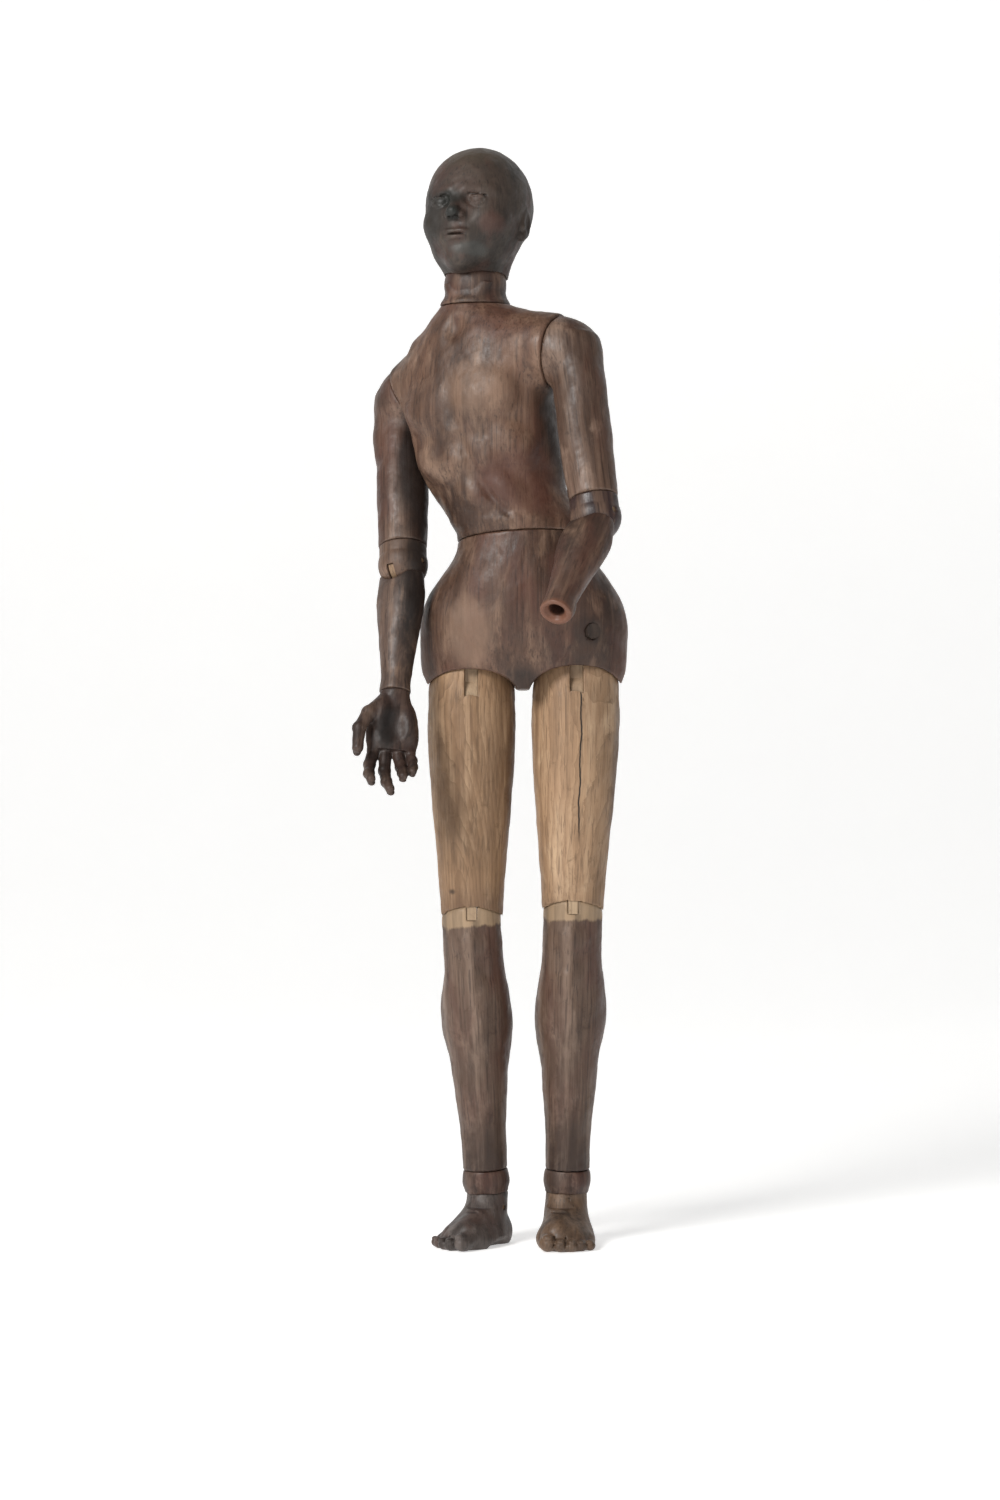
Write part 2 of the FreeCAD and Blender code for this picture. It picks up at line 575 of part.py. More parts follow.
def make_forearm(side):
    """A tapering forearm with the elbow's cup above and the wrist socket below."""
    place = forearm_frame[side]
    reach = (elbow[side] - wrist[side]).Length
    loft = lofted([
        (f"{-reach * part}", f"{wide} * {first}", f"{wide} * {second}")
        for part, wide, first, second in (
            (0.0, "forearm_half_width", 0.93, 0.74), (0.1, "forearm_half_width", 0.97, 0.76),
            (0.25, "forearm_half_width", 1.0, 0.9), (0.5, "forearm_half_width", 0.88, 0.82),
            (0.75, "wrist_radius", 1.14, 1.1), (0.9, "wrist_radius", 1.0, 0.98),
            (1.0, "wrist_radius", 1.04, 1.03))
    ])
    hinge = inside(place, elbow_hinge[side])
    end = inside(place, wrist_frame[side])
    tools = [
        ball(HERE, "elbow_ball_r + ball_gap"),
        mortise(hinge, "elbow_tongue_thick", "-elbow_tongue_front", "elbow_tongue_back", "36"),
        rod(end, "wrist_peg_r + run_gap", "-5", "wrist_peg_up + bore_spare"),
    ]
    if side == "right":
        lock = lock_place(wrist_frame[side], "wrist_peg_r", "wrist_groove")
        tools.append(rod(inside(place, lock), "lock_r", "-7.5", "30"))
        keep(rod(HERE, "lock_r", "-7.5", "10"), "right_wrist_peg_lock", lock)
    keep(cut(loft, tools), f"{side}_forearm", place)
    keep(tongue("elbow_tongue_thick", "elbow_disc_r", "elbow_pin_r", "-elbow_tongue_front",
                "elbow_tongue_back", "elbow_ledge", "36"), f"{side}_elbow_tongue",
         elbow_hinge[side])
    keep(pin_hole(HERE, "elbow_pin_r", "18.4"), f"{side}_elbow_pin", elbow_hinge[side])


def finger(start, end, radius):
    """A finger bone that tapers to its far knuckle, which is a little thicker than it."""
    along = end - start
    bone = solid("Cone", frame(start, along, X + Y * 0.1), Radius1=str(radius),
                 Radius2=str(radius * 0.86), Height=str(along.Length))
    return [bone, ball(at(*end), str(radius * 0.92))]


def make_hand():
    """The palm, a thumb and four half-curled fingers, hung from the wrist peg."""
    palm = lofted([
        ("-0.3", "wrist_radius * 1.0", "wrist_radius * 0.98"),
        ("-palm_length * 0.2", "palm_half_width * 0.72", "palm_half_thick * 1.1"),
        ("-palm_length * 0.6", "palm_half_width * 0.97", "palm_half_thick"),
        ("-palm_length * 0.9", "palm_half_width * 1.0", "palm_half_thick * 0.86"),
        ("-palm_length * 1.02", "palm_half_width * 0.92", "palm_half_thick * 0.62"),
    ])
    chains = [
        ((-14, 0, -48), (-17, -5, -63), (-16, -14, -74), 4.0),
        ((-5, 0, -51), (-4, -5, -68), (-1, -13, -82), 4.1),
        ((5, 0, -50), (8, -7, -64), (9, -17, -71), 3.9),
        ((13.5, 0, -46), (17, -8, -58), (17, -16, -65), 3.5),
        ((-13, -4, -18), (-22, -10, -36), (-26, -14, -56), 4.4),
    ]
    lumps = [palm]
    for first, middle, tip, radius in chains:
        lumps += finger(Vector(*first), Vector(*middle), radius)
        lumps += finger(Vector(*middle), Vector(*tip), radius * 0.85)
    above = half_space(at(z=-0.3))
    socket = rod(HERE, "wrist_peg_r", "-wrist_peg_down - bore_spare", "5")
    keep(cut(union(lumps), [above, socket]), "right_hand", hand_frame)
    peg = turned(grooved("wrist_peg_r", "-wrist_peg_down", "wrist_peg_up", "wrist_groove"))
    keep(peg, "right_wrist_peg", wrist_frame["right"])


for side in elbow:
    make_upper_arm(side)
    make_shoulder_peg(side)
    make_elbow_knuckle(side)
    make_forearm(side)
make_hand()


# ---------------------------------------------------------------- legs

KNEE_TONGUE_TOP = "52"


def make_thigh(side):
    """A round-topped thigh, slotted for the hip tongue and cupped for the knee."""
    place = thigh_frame[side]
    reach = (hip[side] - knee[side]).Length
    loft = lofted([
        (f"{-reach * part}", f"thigh_half_width * {wide}", f"thigh_half_depth * {deep}")
        for part, wide, deep in (
            (-0.25, 0.86, 0.85), (-0.14, 0.94, 0.93), (0.0, 1.0, 1.0), (0.22, 0.98, 0.98),
            (0.45, 0.9, 0.9), (0.67, 0.8, 0.79), (0.88, 0.72, 0.7), (1.0, 0.7, 0.665))
    ])
    domed = below_dome(loft, HERE, "hip_ball_half", "hip_ball_r")
    hinge = inside(place, hip_frame[side])
    knee_here = inside(place, knee_frame[side])
    tools = slot(hinge, "hip_tongue_thick", "hip_disc_r", "-hip_tongue_half", "hip_tongue_half",
                 "0", "90", HIP_SWING)
    tools.append(pin_hole(hinge, "hip_pin_r", "50"))
    cup = dome(knee_here.multiply(at(turn=Rotation(X, 90))), "knee_ball_half + ball_gap",
               "knee_ball_r + ball_gap")
    seat = mortise(knee_here, "knee_tongue_thick", "-knee_tongue_front", "knee_tongue_back",
                   KNEE_TONGUE_TOP)
    keep(cut(cut(cut(domed, tools), [cup]), [seat]), f"{side}_thigh", place)
    keep(pin_hole(HERE, "hip_pin_r", "34"), f"{side}_hip_pin", hip_frame[side])


def make_knee_tongue(side):
    keep(tongue("knee_tongue_thick", "knee_disc_r", "knee_pin_r", "-knee_tongue_front",
                "knee_tongue_back", "knee_ledge", KNEE_TONGUE_TOP),
         f"{side}_knee_tongue", knee_frame[side])
    keep(pin_hole(HERE, "knee_pin_r", "22.8"), f"{side}_knee_pin", knee_frame[side])


def make_shin(side):
    """A shin with a slotted dome above, the calf behind and the ankle swivel below."""
    place = shin_frame[side]
    reach = (knee[side] - shin_end[side]).Length
    loft = lofted([
        (f"{-reach * part}", f"shin_half_width * {wide}", f"shin_half_depth * {deep}", 0, back)
        for part, wide, deep, back in (
            (-0.16, 0.84, 0.81, 0), (0.0, 0.85, 0.82, 0), (0.15, 0.87, 0.88, 1),
            (0.31, 0.99, 0.98, 4), (0.4, 0.99, 0.99, 5), (0.52, 0.85, 0.9, 3.5),
            (0.68, 0.76, 0.8, 2), (0.84, 0.66, 0.67, 0.5), (1.0, 0.64, 0.65, 0))
    ], wide="y")
    domed = below_dome(loft, HERE, "knee_ball_half", "knee_ball_r")
    hinge = inside(place, knee_frame[side])
    swivel = inside(place, ankle_swivel[side])
    tools = slot(hinge, "knee_tongue_thick", "knee_disc_r", "-knee_tongue_front",
                 "knee_tongue_back", "knee_ledge", "70", (0, -22, -42, -62), mouth="40")
    tools.append(pin_hole(hinge, "knee_pin_r", "40"))
    tools.append(rod(swivel, "ankle_peg_r + run_gap", "-5", "ankle_peg_up + bore_spare"))
    lock = lock_place(ankle_swivel[side], "ankle_peg_r", "ankle_groove")
    tools.append(rod(inside(place, lock), "lock_r", "-9", "40"))
    keep(cut(domed, tools), f"{side}_shin", place)
    keep(rod(HERE, "lock_r", "-9", "15"), f"{side}_ankle_peg_lock", lock)


def make_ankle_knuckle(side):
    """A short collar with the swivel peg above and the foot's cup below."""
    place = ankle_swivel[side]
    peg = grooved("ankle_peg_r", "-face_gap", "ankle_peg_up", "ankle_groove")[3:]
    outline = [("0", "-30"), ("18.2", "-30"), ("18.6", "-9"), ("18.1", "-face_gap"),
               ("ankle_peg_r", "-face_gap")] + peg
    hinge = inside(place, ankle_hinge[side])
    tools = [
        ball(hinge, "ankle_ball_r + ball_gap"),
        rod(hinge, "60", "-40", "10.5"),
        mortise(hinge, "ankle_tongue_thick", "-ankle_tongue_front", "ankle_tongue_back", "26"),
    ]
    keep(cut(turned(outline), tools), f"{side}_ankle_knuckle", place)
    keep(tongue("ankle_tongue_thick", "ankle_disc_r", "ankle_pin_r", "-ankle_tongue_front",
                "ankle_tongue_back", "ankle_ledge", "26"), f"{side}_ankle_tongue",
         ankle_hinge[side])
    keep(pin_hole(HERE, "ankle_pin_r", "15.6"), f"{side}_ankle_pin", ankle_hinge[side])


def make_foot(side):
    """Sole, instep, round ankle and five toes; the big toe is on the inner side."""
    place = foot_frame[side]
    inner = 1 if side == "right" else -1
    hinge = inside(place, ankle_hinge[side])
    sole = lofted([
        ("-2", "foot_half_width * 0.84", "foot_length * 0.44", 0, -17),
        ("3", "foot_half_width * 0.9", "foot_length * 0.46", 0, -17),
        ("sole_thick", "foot_half_width * 0.86", "foot_length * 0.43", 0, -15),
        ("sole_thick * 1.8", "foot_half_width * 0.72", "foot_length * 0.34", 0, -9),
        ("sole_thick * 2.5", "foot_half_width * 0.66", "foot_length * 0.24", 0, -2),
        ("44", "foot_half_width * 0.63", "foot_length * 0.215", 0, 0),
    ], wide="y")
    instep = below_dome(sole, hinge, "ankle_ball_r", "ankle_ball_r")
    lumps = [instep, ellipsoid(0, -30, 8, "foot_half_width", "17", "11")]
    toe_row = [(13.5, -47, 7.2), (3.5, -49, 5.4), (-5.0, -47, 5.0), (-13.0, -43.5, 4.7),
               (-19.8, -38.5, 4.4)]
    for across, forward, radius in toe_row:
        lumps.append(ellipsoid(across * inner, forward, radius * 0.85, str(radius), "11.5", str(radius)))
    lumps.append(ellipsoid(0, 6, 9, "14.5", "15", "14"))
    tools = slot(hinge, "ankle_tongue_thick", "ankle_disc_r", "-ankle_tongue_front",
                 "ankle_tongue_back", "ankle_ledge", "40", (-17, 0, 17), mouth="40")
    tools.append(pin_hole(hinge, "ankle_pin_r", "30"))
    tools.append(half_space(at(turn=Rotation(X, 180))))
    keep(cut(union(lumps), tools), f"{side}_foot", place)


for side in hip:
    make_thigh(side)
    make_knee_tongue(side)
    make_shin(side)
    make_ankle_knuckle(side)
    make_foot(side)


# ---------------------------------------------------------------- check and write

doc.recompute()
for made in doc.Objects:
    if "Invalid" in made.State or "Error" in made.State:
        raise RuntimeError(f"{made.Name} ({made.Label}) failed: {made.State}")
for made in pieces:
    if made.Shape.isNull() or not made.Shape.isValid():
        raise RuntimeError(f"{made.Label} has no valid shape")
    wanted = 2 if made.Label == "shoulder_peg_locks" else 1
    if len(made.Shape.Solids) != wanted:
        raise RuntimeError(f"{made.Label} has {len(made.Shape.Solids)} solids")

os.makedirs("parts", exist_ok=True)
for made in pieces:
    made.Shape.exportStep(f"parts/{made.Label}.step")
    box = made.Shape.BoundBox
    print(f"{made.Label:24s} {made.Shape.Volume / 1000:8.2f} cm3  "
          f"x {box.XMin:7.1f} {box.XMax:7.1f}  y {box.YMin:7.1f} {box.YMax:7.1f}  "
          f"z {box.ZMin:7.1f} {box.ZMax:7.1f}")
whole = Part.makeCompound([made.Shape for made in pieces]).BoundBox
print(f"whole {whole.XLength:.1f} by {whole.YLength:.1f} by {whole.ZLength:.1f}")
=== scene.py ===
"""The looks of a carved wooden artist's lay figure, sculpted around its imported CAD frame.

Every carved piece is a distance field in millimetres, in a frame of its own that stands on the
CAD joints, meshed with a surface net. Its working faces (cups, domes, slots, flat swivel faces)
repeat the CAD sizes, so it moves as the CAD piece does.
"""

import json
import math

import bpy
import numpy as np
from mathutils import Matrix, Vector

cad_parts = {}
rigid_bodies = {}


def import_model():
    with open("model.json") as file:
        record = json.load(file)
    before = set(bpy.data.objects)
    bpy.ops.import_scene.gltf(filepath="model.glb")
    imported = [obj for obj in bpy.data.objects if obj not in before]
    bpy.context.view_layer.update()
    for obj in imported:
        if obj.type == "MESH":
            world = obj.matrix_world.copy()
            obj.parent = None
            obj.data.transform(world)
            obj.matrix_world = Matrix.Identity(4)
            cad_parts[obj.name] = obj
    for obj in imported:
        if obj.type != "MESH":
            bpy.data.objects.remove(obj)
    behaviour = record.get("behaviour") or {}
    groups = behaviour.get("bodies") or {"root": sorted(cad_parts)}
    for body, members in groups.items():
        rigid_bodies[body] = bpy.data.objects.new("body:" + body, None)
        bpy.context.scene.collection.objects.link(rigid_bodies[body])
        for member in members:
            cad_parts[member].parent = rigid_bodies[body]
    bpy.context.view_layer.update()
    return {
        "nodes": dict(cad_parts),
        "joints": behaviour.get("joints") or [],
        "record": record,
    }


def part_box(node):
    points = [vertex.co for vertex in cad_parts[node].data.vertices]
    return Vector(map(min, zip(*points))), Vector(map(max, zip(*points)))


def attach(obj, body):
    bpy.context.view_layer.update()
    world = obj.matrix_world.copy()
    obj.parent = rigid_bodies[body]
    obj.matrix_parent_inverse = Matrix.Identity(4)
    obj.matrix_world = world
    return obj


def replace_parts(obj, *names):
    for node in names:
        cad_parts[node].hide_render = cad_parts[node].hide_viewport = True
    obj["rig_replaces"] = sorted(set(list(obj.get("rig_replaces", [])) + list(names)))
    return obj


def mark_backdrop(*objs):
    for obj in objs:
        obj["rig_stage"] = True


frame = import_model()
MM = 0.001
JOINTS = {joint["name"]: joint for joint in frame["joints"]}
MOUNTS = {mount["name"]: mount for mount in frame["record"]["mounts"]}
SIDES = ("right", "left")
X, Y, Z = np.eye(3)

# Clearances of the CAD joints.
BALL_GAP, SLOT_GAP, FACE_GAP, RUN_GAP = 0.4, 0.3, 0.3, 0.05


# ---------------------------------------------------------------- frames

def unit(v):
    v = np.array(v, float)
    return v / np.linalg.norm(v)


class Frame:
    """A right-handed frame in millimetres: z along one direction, x as near another as it can."""

    def __init__(self, origin, up, across):
        z = unit(up)
        x = unit(np.array(across, float) - z * np.dot(across, z))
        self.origin = np.array(origin, float)
        self.axes = np.column_stack([x, np.cross(z, x), z])

    def inward(self, p):
        return (p - self.origin) @ self.axes

    def outward(self, p):
        return p @ self.axes.T + self.origin

    def matrix(self):
        m = Matrix(self.axes.tolist()).to_4x4()
        m.translation = Vector(self.origin * MM)
        return m


def joint_at(name):
    return np.array(JOINTS[name]["pos_m"]) / MM


def joint_axis(name):
    return unit(JOINTS[name]["axis"])


def turned(v, degrees):
    """A direction turned about the world's Z."""
    c, s = math.cos(math.radians(degrees)), math.sin(math.radians(degrees))
    return np.array([v[0] * c - v[1] * s, v[0] * s + v[1] * c, v[2]])


waist = Frame(joint_at("waist_turn"), joint_axis("waist_turn"), X)
SHOULDER_OFFSET = 15.0
COLLAR_HIGH = 15.2
shoulder, arm, knuckle, forearm, elbow_hinge, wrist, arm_long = {}, {}, {}, {}, {}, {}, {}
for side in SIDES:
    out = joint_axis(side + "_shoulder_swing") * (1 if side == "right" else -1)
    shoulder[side] = Frame(joint_at(side + "_shoulder_swing"), out, -Y)
    elbow = joint_at(side + "_elbow_bend")
    up = joint_axis(side + "_elbow_swivel")
    hinge_x = -joint_axis(side + "_elbow_bend")
    knuckle[side] = Frame(elbow, up, hinge_x)
    arm[side] = knuckle[side]
    arm_long[side] = (SHOULDER_OFFSET + np.dot(shoulder[side].origin - elbow, out)) / np.dot(up, out)
    if side == "right":
        end = joint_at("right_wrist_swivel")
        down_up = joint_axis("right_wrist_swivel")
    else:
        down_up = -unit(MOUNTS["left_wrist_socket"]["axis"])
        end = np.array(MOUNTS["left_wrist_socket"]["pos_m"]) / MM - down_up * 12.0
    forearm[side] = Frame(elbow, down_up, hinge_x)
    elbow_hinge[side] = Frame(elbow, -down_up, hinge_x)
    wrist[side] = Frame(end, down_up, hinge_x)

nod = Frame(joint_at("head_nod"), Z, joint_axis("head_nod"))
CHIN_UP = math.radians(6.0)
head = Frame(nod.origin, Z * math.cos(CHIN_UP) + np.cross(Z, nod.axes[:, 0]) * math.sin(CHIN_UP),
             joint_axis("head_nod"))
neck_base = joint_at("neck_turn")

hip, knee, thigh, shin, ankle, ankle_swivel, foot = {}, {}, {}, {}, {}, {}, {}
for side in SIDES:
    hip[side] = Frame(joint_at(side + "_hip_swing"), Z, X)
    knee[side] = Frame(joint_at(side + "_knee_bend"), Z, X)
    foot_x = joint_axis(side + "_ankle_tilt")
    ankle[side] = Frame(joint_at(side + "_ankle_tilt"), Z, foot_x)
    thigh[side] = Frame(hip[side].origin, hip[side].origin - knee[side].origin, X)
    shin[side] = Frame(knee[side].origin, knee[side].origin - ankle[side].origin, X)
    ankle_swivel[side] = Frame(joint_at(side + "_ankle_swivel"), shin[side].axes[:, 2], foot_x)
    foot[side] = Frame(ankle[side].origin * (1, 1, 0), Z, foot_x)


# ---------------------------------------------------------------- distance fields

def egg(p, centre, radii):
    """About the distance to an ellipsoid."""
    q = (p - np.array(centre, float)) / np.array(radii, float)
    k0 = np.linalg.norm(q, axis=1)
    k1 = np.linalg.norm(q / np.array(radii, float), axis=1) + 1e-9
    return np.where(k0 < 0.35, (k0 - 1) * min(radii), k0 * (k0 - 1) / k1)


def bone(p, start, end, r0, r1):
    """A round stick that tapers from one radius to another."""
    a, b = np.array(start, float), np.array(end, float)
    along = b - a
    share = np.clip((p - a) @ along / np.dot(along, along), 0, 1)
    return np.linalg.norm(p - a - share[:, None] * along, axis=1) - (r0 + (r1 - r0) * share)


def chain(p, points, radii, k=2.0):
    made = None
    for (a, b), (ra, rb) in zip(zip(points, points[1:]), zip(radii, radii[1:])):
        stick = bone(p, a, b, ra, rb)
        made = stick if made is None else blend(made, stick, k)
    return made


def slab(p, low, high):
    """A box between two corners."""
    middle = (np.array(low, float) + np.array(high, float)) / 2
    q = np.abs(p - middle) - (np.array(high, float) - np.array(low, float)) / 2
    return np.linalg.norm(np.maximum(q, 0), axis=1) + np.minimum(q.max(axis=1), 0)


def tube(p, radius, low, high, at=(0, 0)):
    """A cylinder along z."""
    side = np.hypot(p[:, 0] - at[0], p[:, 1] - at[1]) - radius
    ends = np.maximum(low - p[:, 2], p[:, 2] - high)
    return np.maximum(side, ends)


def rod_x(p, radius, half):
    return np.maximum(np.hypot(p[:, 1], p[:, 2]) - radius, np.abs(p[:, 0]) - half)


def blend(a, b, k):
    """The union of two, with a fillet of about k."""
    h = np.clip(0.5 + 0.5 * (b - a) / k, 0, 1)
    return b + (a - b) * h - k * h * (1 - h)


def hollow(a, b, k=0.8):
    """a with b cut out of it, and the edge eased by about k."""
    h = np.clip(0.5 - 0.5 * (a + b) / k, 0, 1)
    return a + (-b - a) * h + k * h * (1 - h)


def spline(at, xs, ys):
    """A smooth curve through points, level beyond its ends."""
    xs, ys = np.array(xs, float), np.array(ys, float)
    order = np.argsort(xs)
    xs, ys = xs[order], ys[order]
    slopes = np.gradient(ys, xs)
    slopes[0] = slopes[-1] = 0
    at = np.clip(at, xs[0], xs[-1])
    k = np.clip(np.searchsorted(xs, at) - 1, 0, len(xs) - 2)
    step = xs[k + 1] - xs[k]
    u = (at - xs[k]) / step
    return ((2 * u**3 - 3 * u**2 + 1) * ys[k] + (u**3 - 2 * u**2 + u) * step * slopes[k]
            + (-2 * u**3 + 3 * u**2) * ys[k + 1] + (u**3 - u**2) * step * slopes[k + 1])


def column(p, stations):
    """A smooth column along z through ellipses: (z, half x, half y, centre x, centre y)."""
    table = np.array([list(s) + [0] * (5 - len(s)) for s in stations], float)
    rx, ry, cx, cy = (spline(p[:, 2], table[:, 0], table[:, k]) for k in (1, 2, 3, 4))
    u, v = p[:, 0] - cx, p[:, 1] - cy
    k0 = np.hypot(u / rx, v / ry)
    k1 = np.hypot(u / rx**2, v / ry**2) + 1e-9
    return np.where(k0 < 0.35, (k0 - 1) * np.minimum(rx, ry), k0 * (k0 - 1) / k1)


def swung(h, degrees):
    """Points of a hinge's frame as a tongue turned about its X sees them."""
    c, s = math.cos(math.radians(degrees)), math.sin(math.radians(degrees))
    return np.column_stack([h[:, 0], h[:, 1] * c + h[:, 2] * s, -h[:, 1] * s + h[:, 2] * c])


def slot_room(h, thick, disc_r, front, back, ledge, reach, angles, mouth=0):
    """The room a tongue sweeps, as the CAD dome has it."""
    wide = thick / 2 + SLOT_GAP
    room = rod_x(h, disc_r + BALL_GAP, wide)
    for angle in angles:
        q = swung(h, angle)
        block = slab(q, (-wide, -front - 0.5, ledge - 0.4), (wide, back + 0.5, reach))
        room = np.minimum(room, block)
    if mouth:
        room = np.minimum(room, slab(h, (-wide, -mouth, ledge - 0.4), (wide, -front, reach)))
    return room


def waves(p, length, seed=0):
    """Gentle, fixed unevenness between about -1 and 1, with the given wavelength."""
    total = 0
    for k in range(5):
        angle, lift = 2.4 * k + seed, 0.9 * math.sin(1.7 * k + seed)
        way = np.array([math.cos(angle) * math.cos(lift), math.sin(angle) * math.cos(lift), math.sin(lift)])
        total = total + np.sin(p @ way * (2 * math.pi / length * (1 + 0.23 * k)) + 1.3 * k + 2 * seed)
    return total / 3.2


# ---------------------------------------------------------------- meshing

BLOCK = 8


def sample(field, low, counts, step):
    """The field on a grid. Blocks far from the surface keep their middle's value."""
    blocks = [-(-int(n) // BLOCK) for n in counts]
    cell = np.indices(blocks).reshape(3, -1).T
    centres = low + (cell * BLOCK + (BLOCK - 1) / 2) * step
    rough = field(centres)
    near = np.abs(rough) < BLOCK * step * 1.25
    grid = np.repeat(np.repeat(np.repeat(rough.reshape(blocks), BLOCK, 0), BLOCK, 1), BLOCK, 2)
    inner = np.indices((BLOCK,) * 3).reshape(3, -1).T
    spots = cell[near]
    for start in range(0, len(spots), 1500):
        index = (spots[start:start + 1500, None, :] * BLOCK + inner[None]).reshape(-1, 3)
        grid[tuple(index.T)] = field(low + index * step)
    return grid


def surface_net(grid, low, step):
    """Vertices and quads round the zero level of a grid."""
    solid = grid < 0
    total = np.zeros([n - 1 for n in grid.shape], np.int8)
    for corner in np.indices((2, 2, 2)).reshape(3, -1).T:
        total += solid[tuple(slice(c, n - 1 + c) for c, n in zip(corner, grid.shape))]
    mixed = (total > 0) & (total < 8)
    number = np.full(total.shape, -1, np.int64)
    number[mixed] = np.arange(mixed.sum())
    cells = np.argwhere(mixed)
    point, count = np.zeros((len(cells), 3)), np.zeros(len(cells))
    for axis in range(3):
        u, v = (axis + 1) % 3, (axis + 2) % 3
        for du in (0, 1):
            for dv in (0, 1):
                offset = np.zeros(3, int)
                offset[u], offset[v] = du, dv
                a = grid[tuple((cells + offset).T)]
                far = offset.copy()
                far[axis] += 1
                b = grid[tuple((cells + far).T)]
                cross = (a < 0) != (b < 0)
                share = np.where(cross, a / np.where(cross, a - b, 1), 0)
                spot = cells + offset + 0.0
                spot[:, axis] += share
                point += spot * cross[:, None]
                count += cross
    vertices = low + step * point / count[:, None]
    quads = []
    for axis in range(3):
        u, v = (axis + 1) % 3, (axis + 2) % 3
        ends = np.roll(solid, -1, axis)
        change = solid != ends
        for k in range(3):
            edge = [slice(None)] * 3
            edge[k] = slice(-1, None)
            change[tuple(edge)] = False
            if k != axis:
                edge[k] = slice(0, 1)
                change[tuple(edge)] = False
        edges = np.argwhere(change)
        step_u, step_v = np.eye(3, dtype=int)[u], np.eye(3, dtype=int)[v]
        ring = [edges, edges - step_u, edges - step_u - step_v, edges - step_v]
        faces = np.column_stack([number[tuple(c.T)] for c in ring])
        lower_solid = solid[tuple(edges.T)]
        faces[~lower_solid] = faces[~lower_solid][:, ::-1]
        quads.append(faces)
    return vertices, np.concatenate(quads)


def carve(name, place, low, high, step, field, body, material, nodes=None, pattern=None):
    """Mesh a field given in the place's own frame, and make it ride a body for its CAD node."""
    low = np.array(low, float)
    counts = np.ceil((np.array(high, float) - low) / step).astype(int) + 1
    vertices, quads = surface_net(sample(field, low, counts, step), low, step)
    mesh = bpy.data.meshes.new(name)
    mesh.vertices.add(len(vertices))
    mesh.vertices.foreach_set("co", (vertices * MM).ravel())
    mesh.loops.add(quads.size)
    mesh.loops.foreach_set("vertex_index", quads.ravel().astype(np.int32))
    mesh.polygons.add(len(quads))
    mesh.polygons.foreach_set("loop_start", np.arange(0, quads.size, 4, dtype=np.int32))
    mesh.update(calc_edges=True)
    mesh.validate()
    mesh.shade_smooth()
    piece = bpy.data.objects.new(name, mesh)
    bpy.context.scene.collection.objects.link(piece)
    piece.matrix_world = place.matrix()
    mesh.materials.append(material)
    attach(piece, body)
    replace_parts(piece, *(nodes or [name.removeprefix("carved_")]))
    return piece


# ---------------------------------------------------------------- materials

class Shader:
    """A small helper that adds nodes to a material, with inputs given by name."""

    def __init__(self, name):
        self.material = bpy.data.materials.new(name)
        self.material.use_nodes = True
        self.tree = self.material.node_tree
        self.tree.nodes.clear()

    def add(self, kind, settings=None, **inputs):
        node = self.tree.nodes.new("ShaderNode" + kind)
        for key, value in (settings or {}).items():
            setattr(node, key, value)
        for key, value in inputs.items():
            socket = node.inputs[int(key[1:])] if key[1:].isdigit() else node.inputs[key.replace("_", " ")]
            if isinstance(value, bpy.types.NodeSocket):
                self.tree.links.new(value, socket)
            else:
                socket.default_value = value
        return node

    def math(self, operation, a, b=0.0, clamp=False):
        return self.add("Math", {"operation": operation, "use_clamp": clamp}, i0=a, i1=b).outputs[0]

    def mix(self, factor, a, b, mode="MIX"):
        node = self.add("Mix", {"data_type": "RGBA", "blend_type": mode, "clamp_factor": True})
        for socket, value in ((node.inputs[0], factor), (node.inputs[6], a), (node.inputs[7], b)):
            if isinstance(value, bpy.types.NodeSocket):
                self.tree.links.new(value, socket)
            else:
                socket.default_value = value
        return node.outputs[2]

    def level(self, value, low, high, to_low=0.0, to_high=1.0):
        """Carry a value from one range to another, smoothly and clamped."""
        node = self.add("MapRange", {"interpolation_type": "SMOOTHSTEP"}, Value=value, From_Min=low,
                        From_Max=high, To_Min=to_low, To_Max=to_high)
        return node.outputs[0]

    def noise(self, where, scale, detail=4.0, rough=0.55, twist=0.0):
        node = self.add("TexNoise", Vector=where, Scale=scale, Detail=detail, Roughness=rough,
                        Distortion=twist)
        return node.outputs[0]

    def stretched(self, where, scale, turn=(0, 0, 0), move=(0, 0, 0)):
        return self.add("Mapping", Vector=where, Scale=scale, Rotation=turn, Location=move).outputs[0]


def rgb(r, g, b):
    return (r, g, b, 1.0)


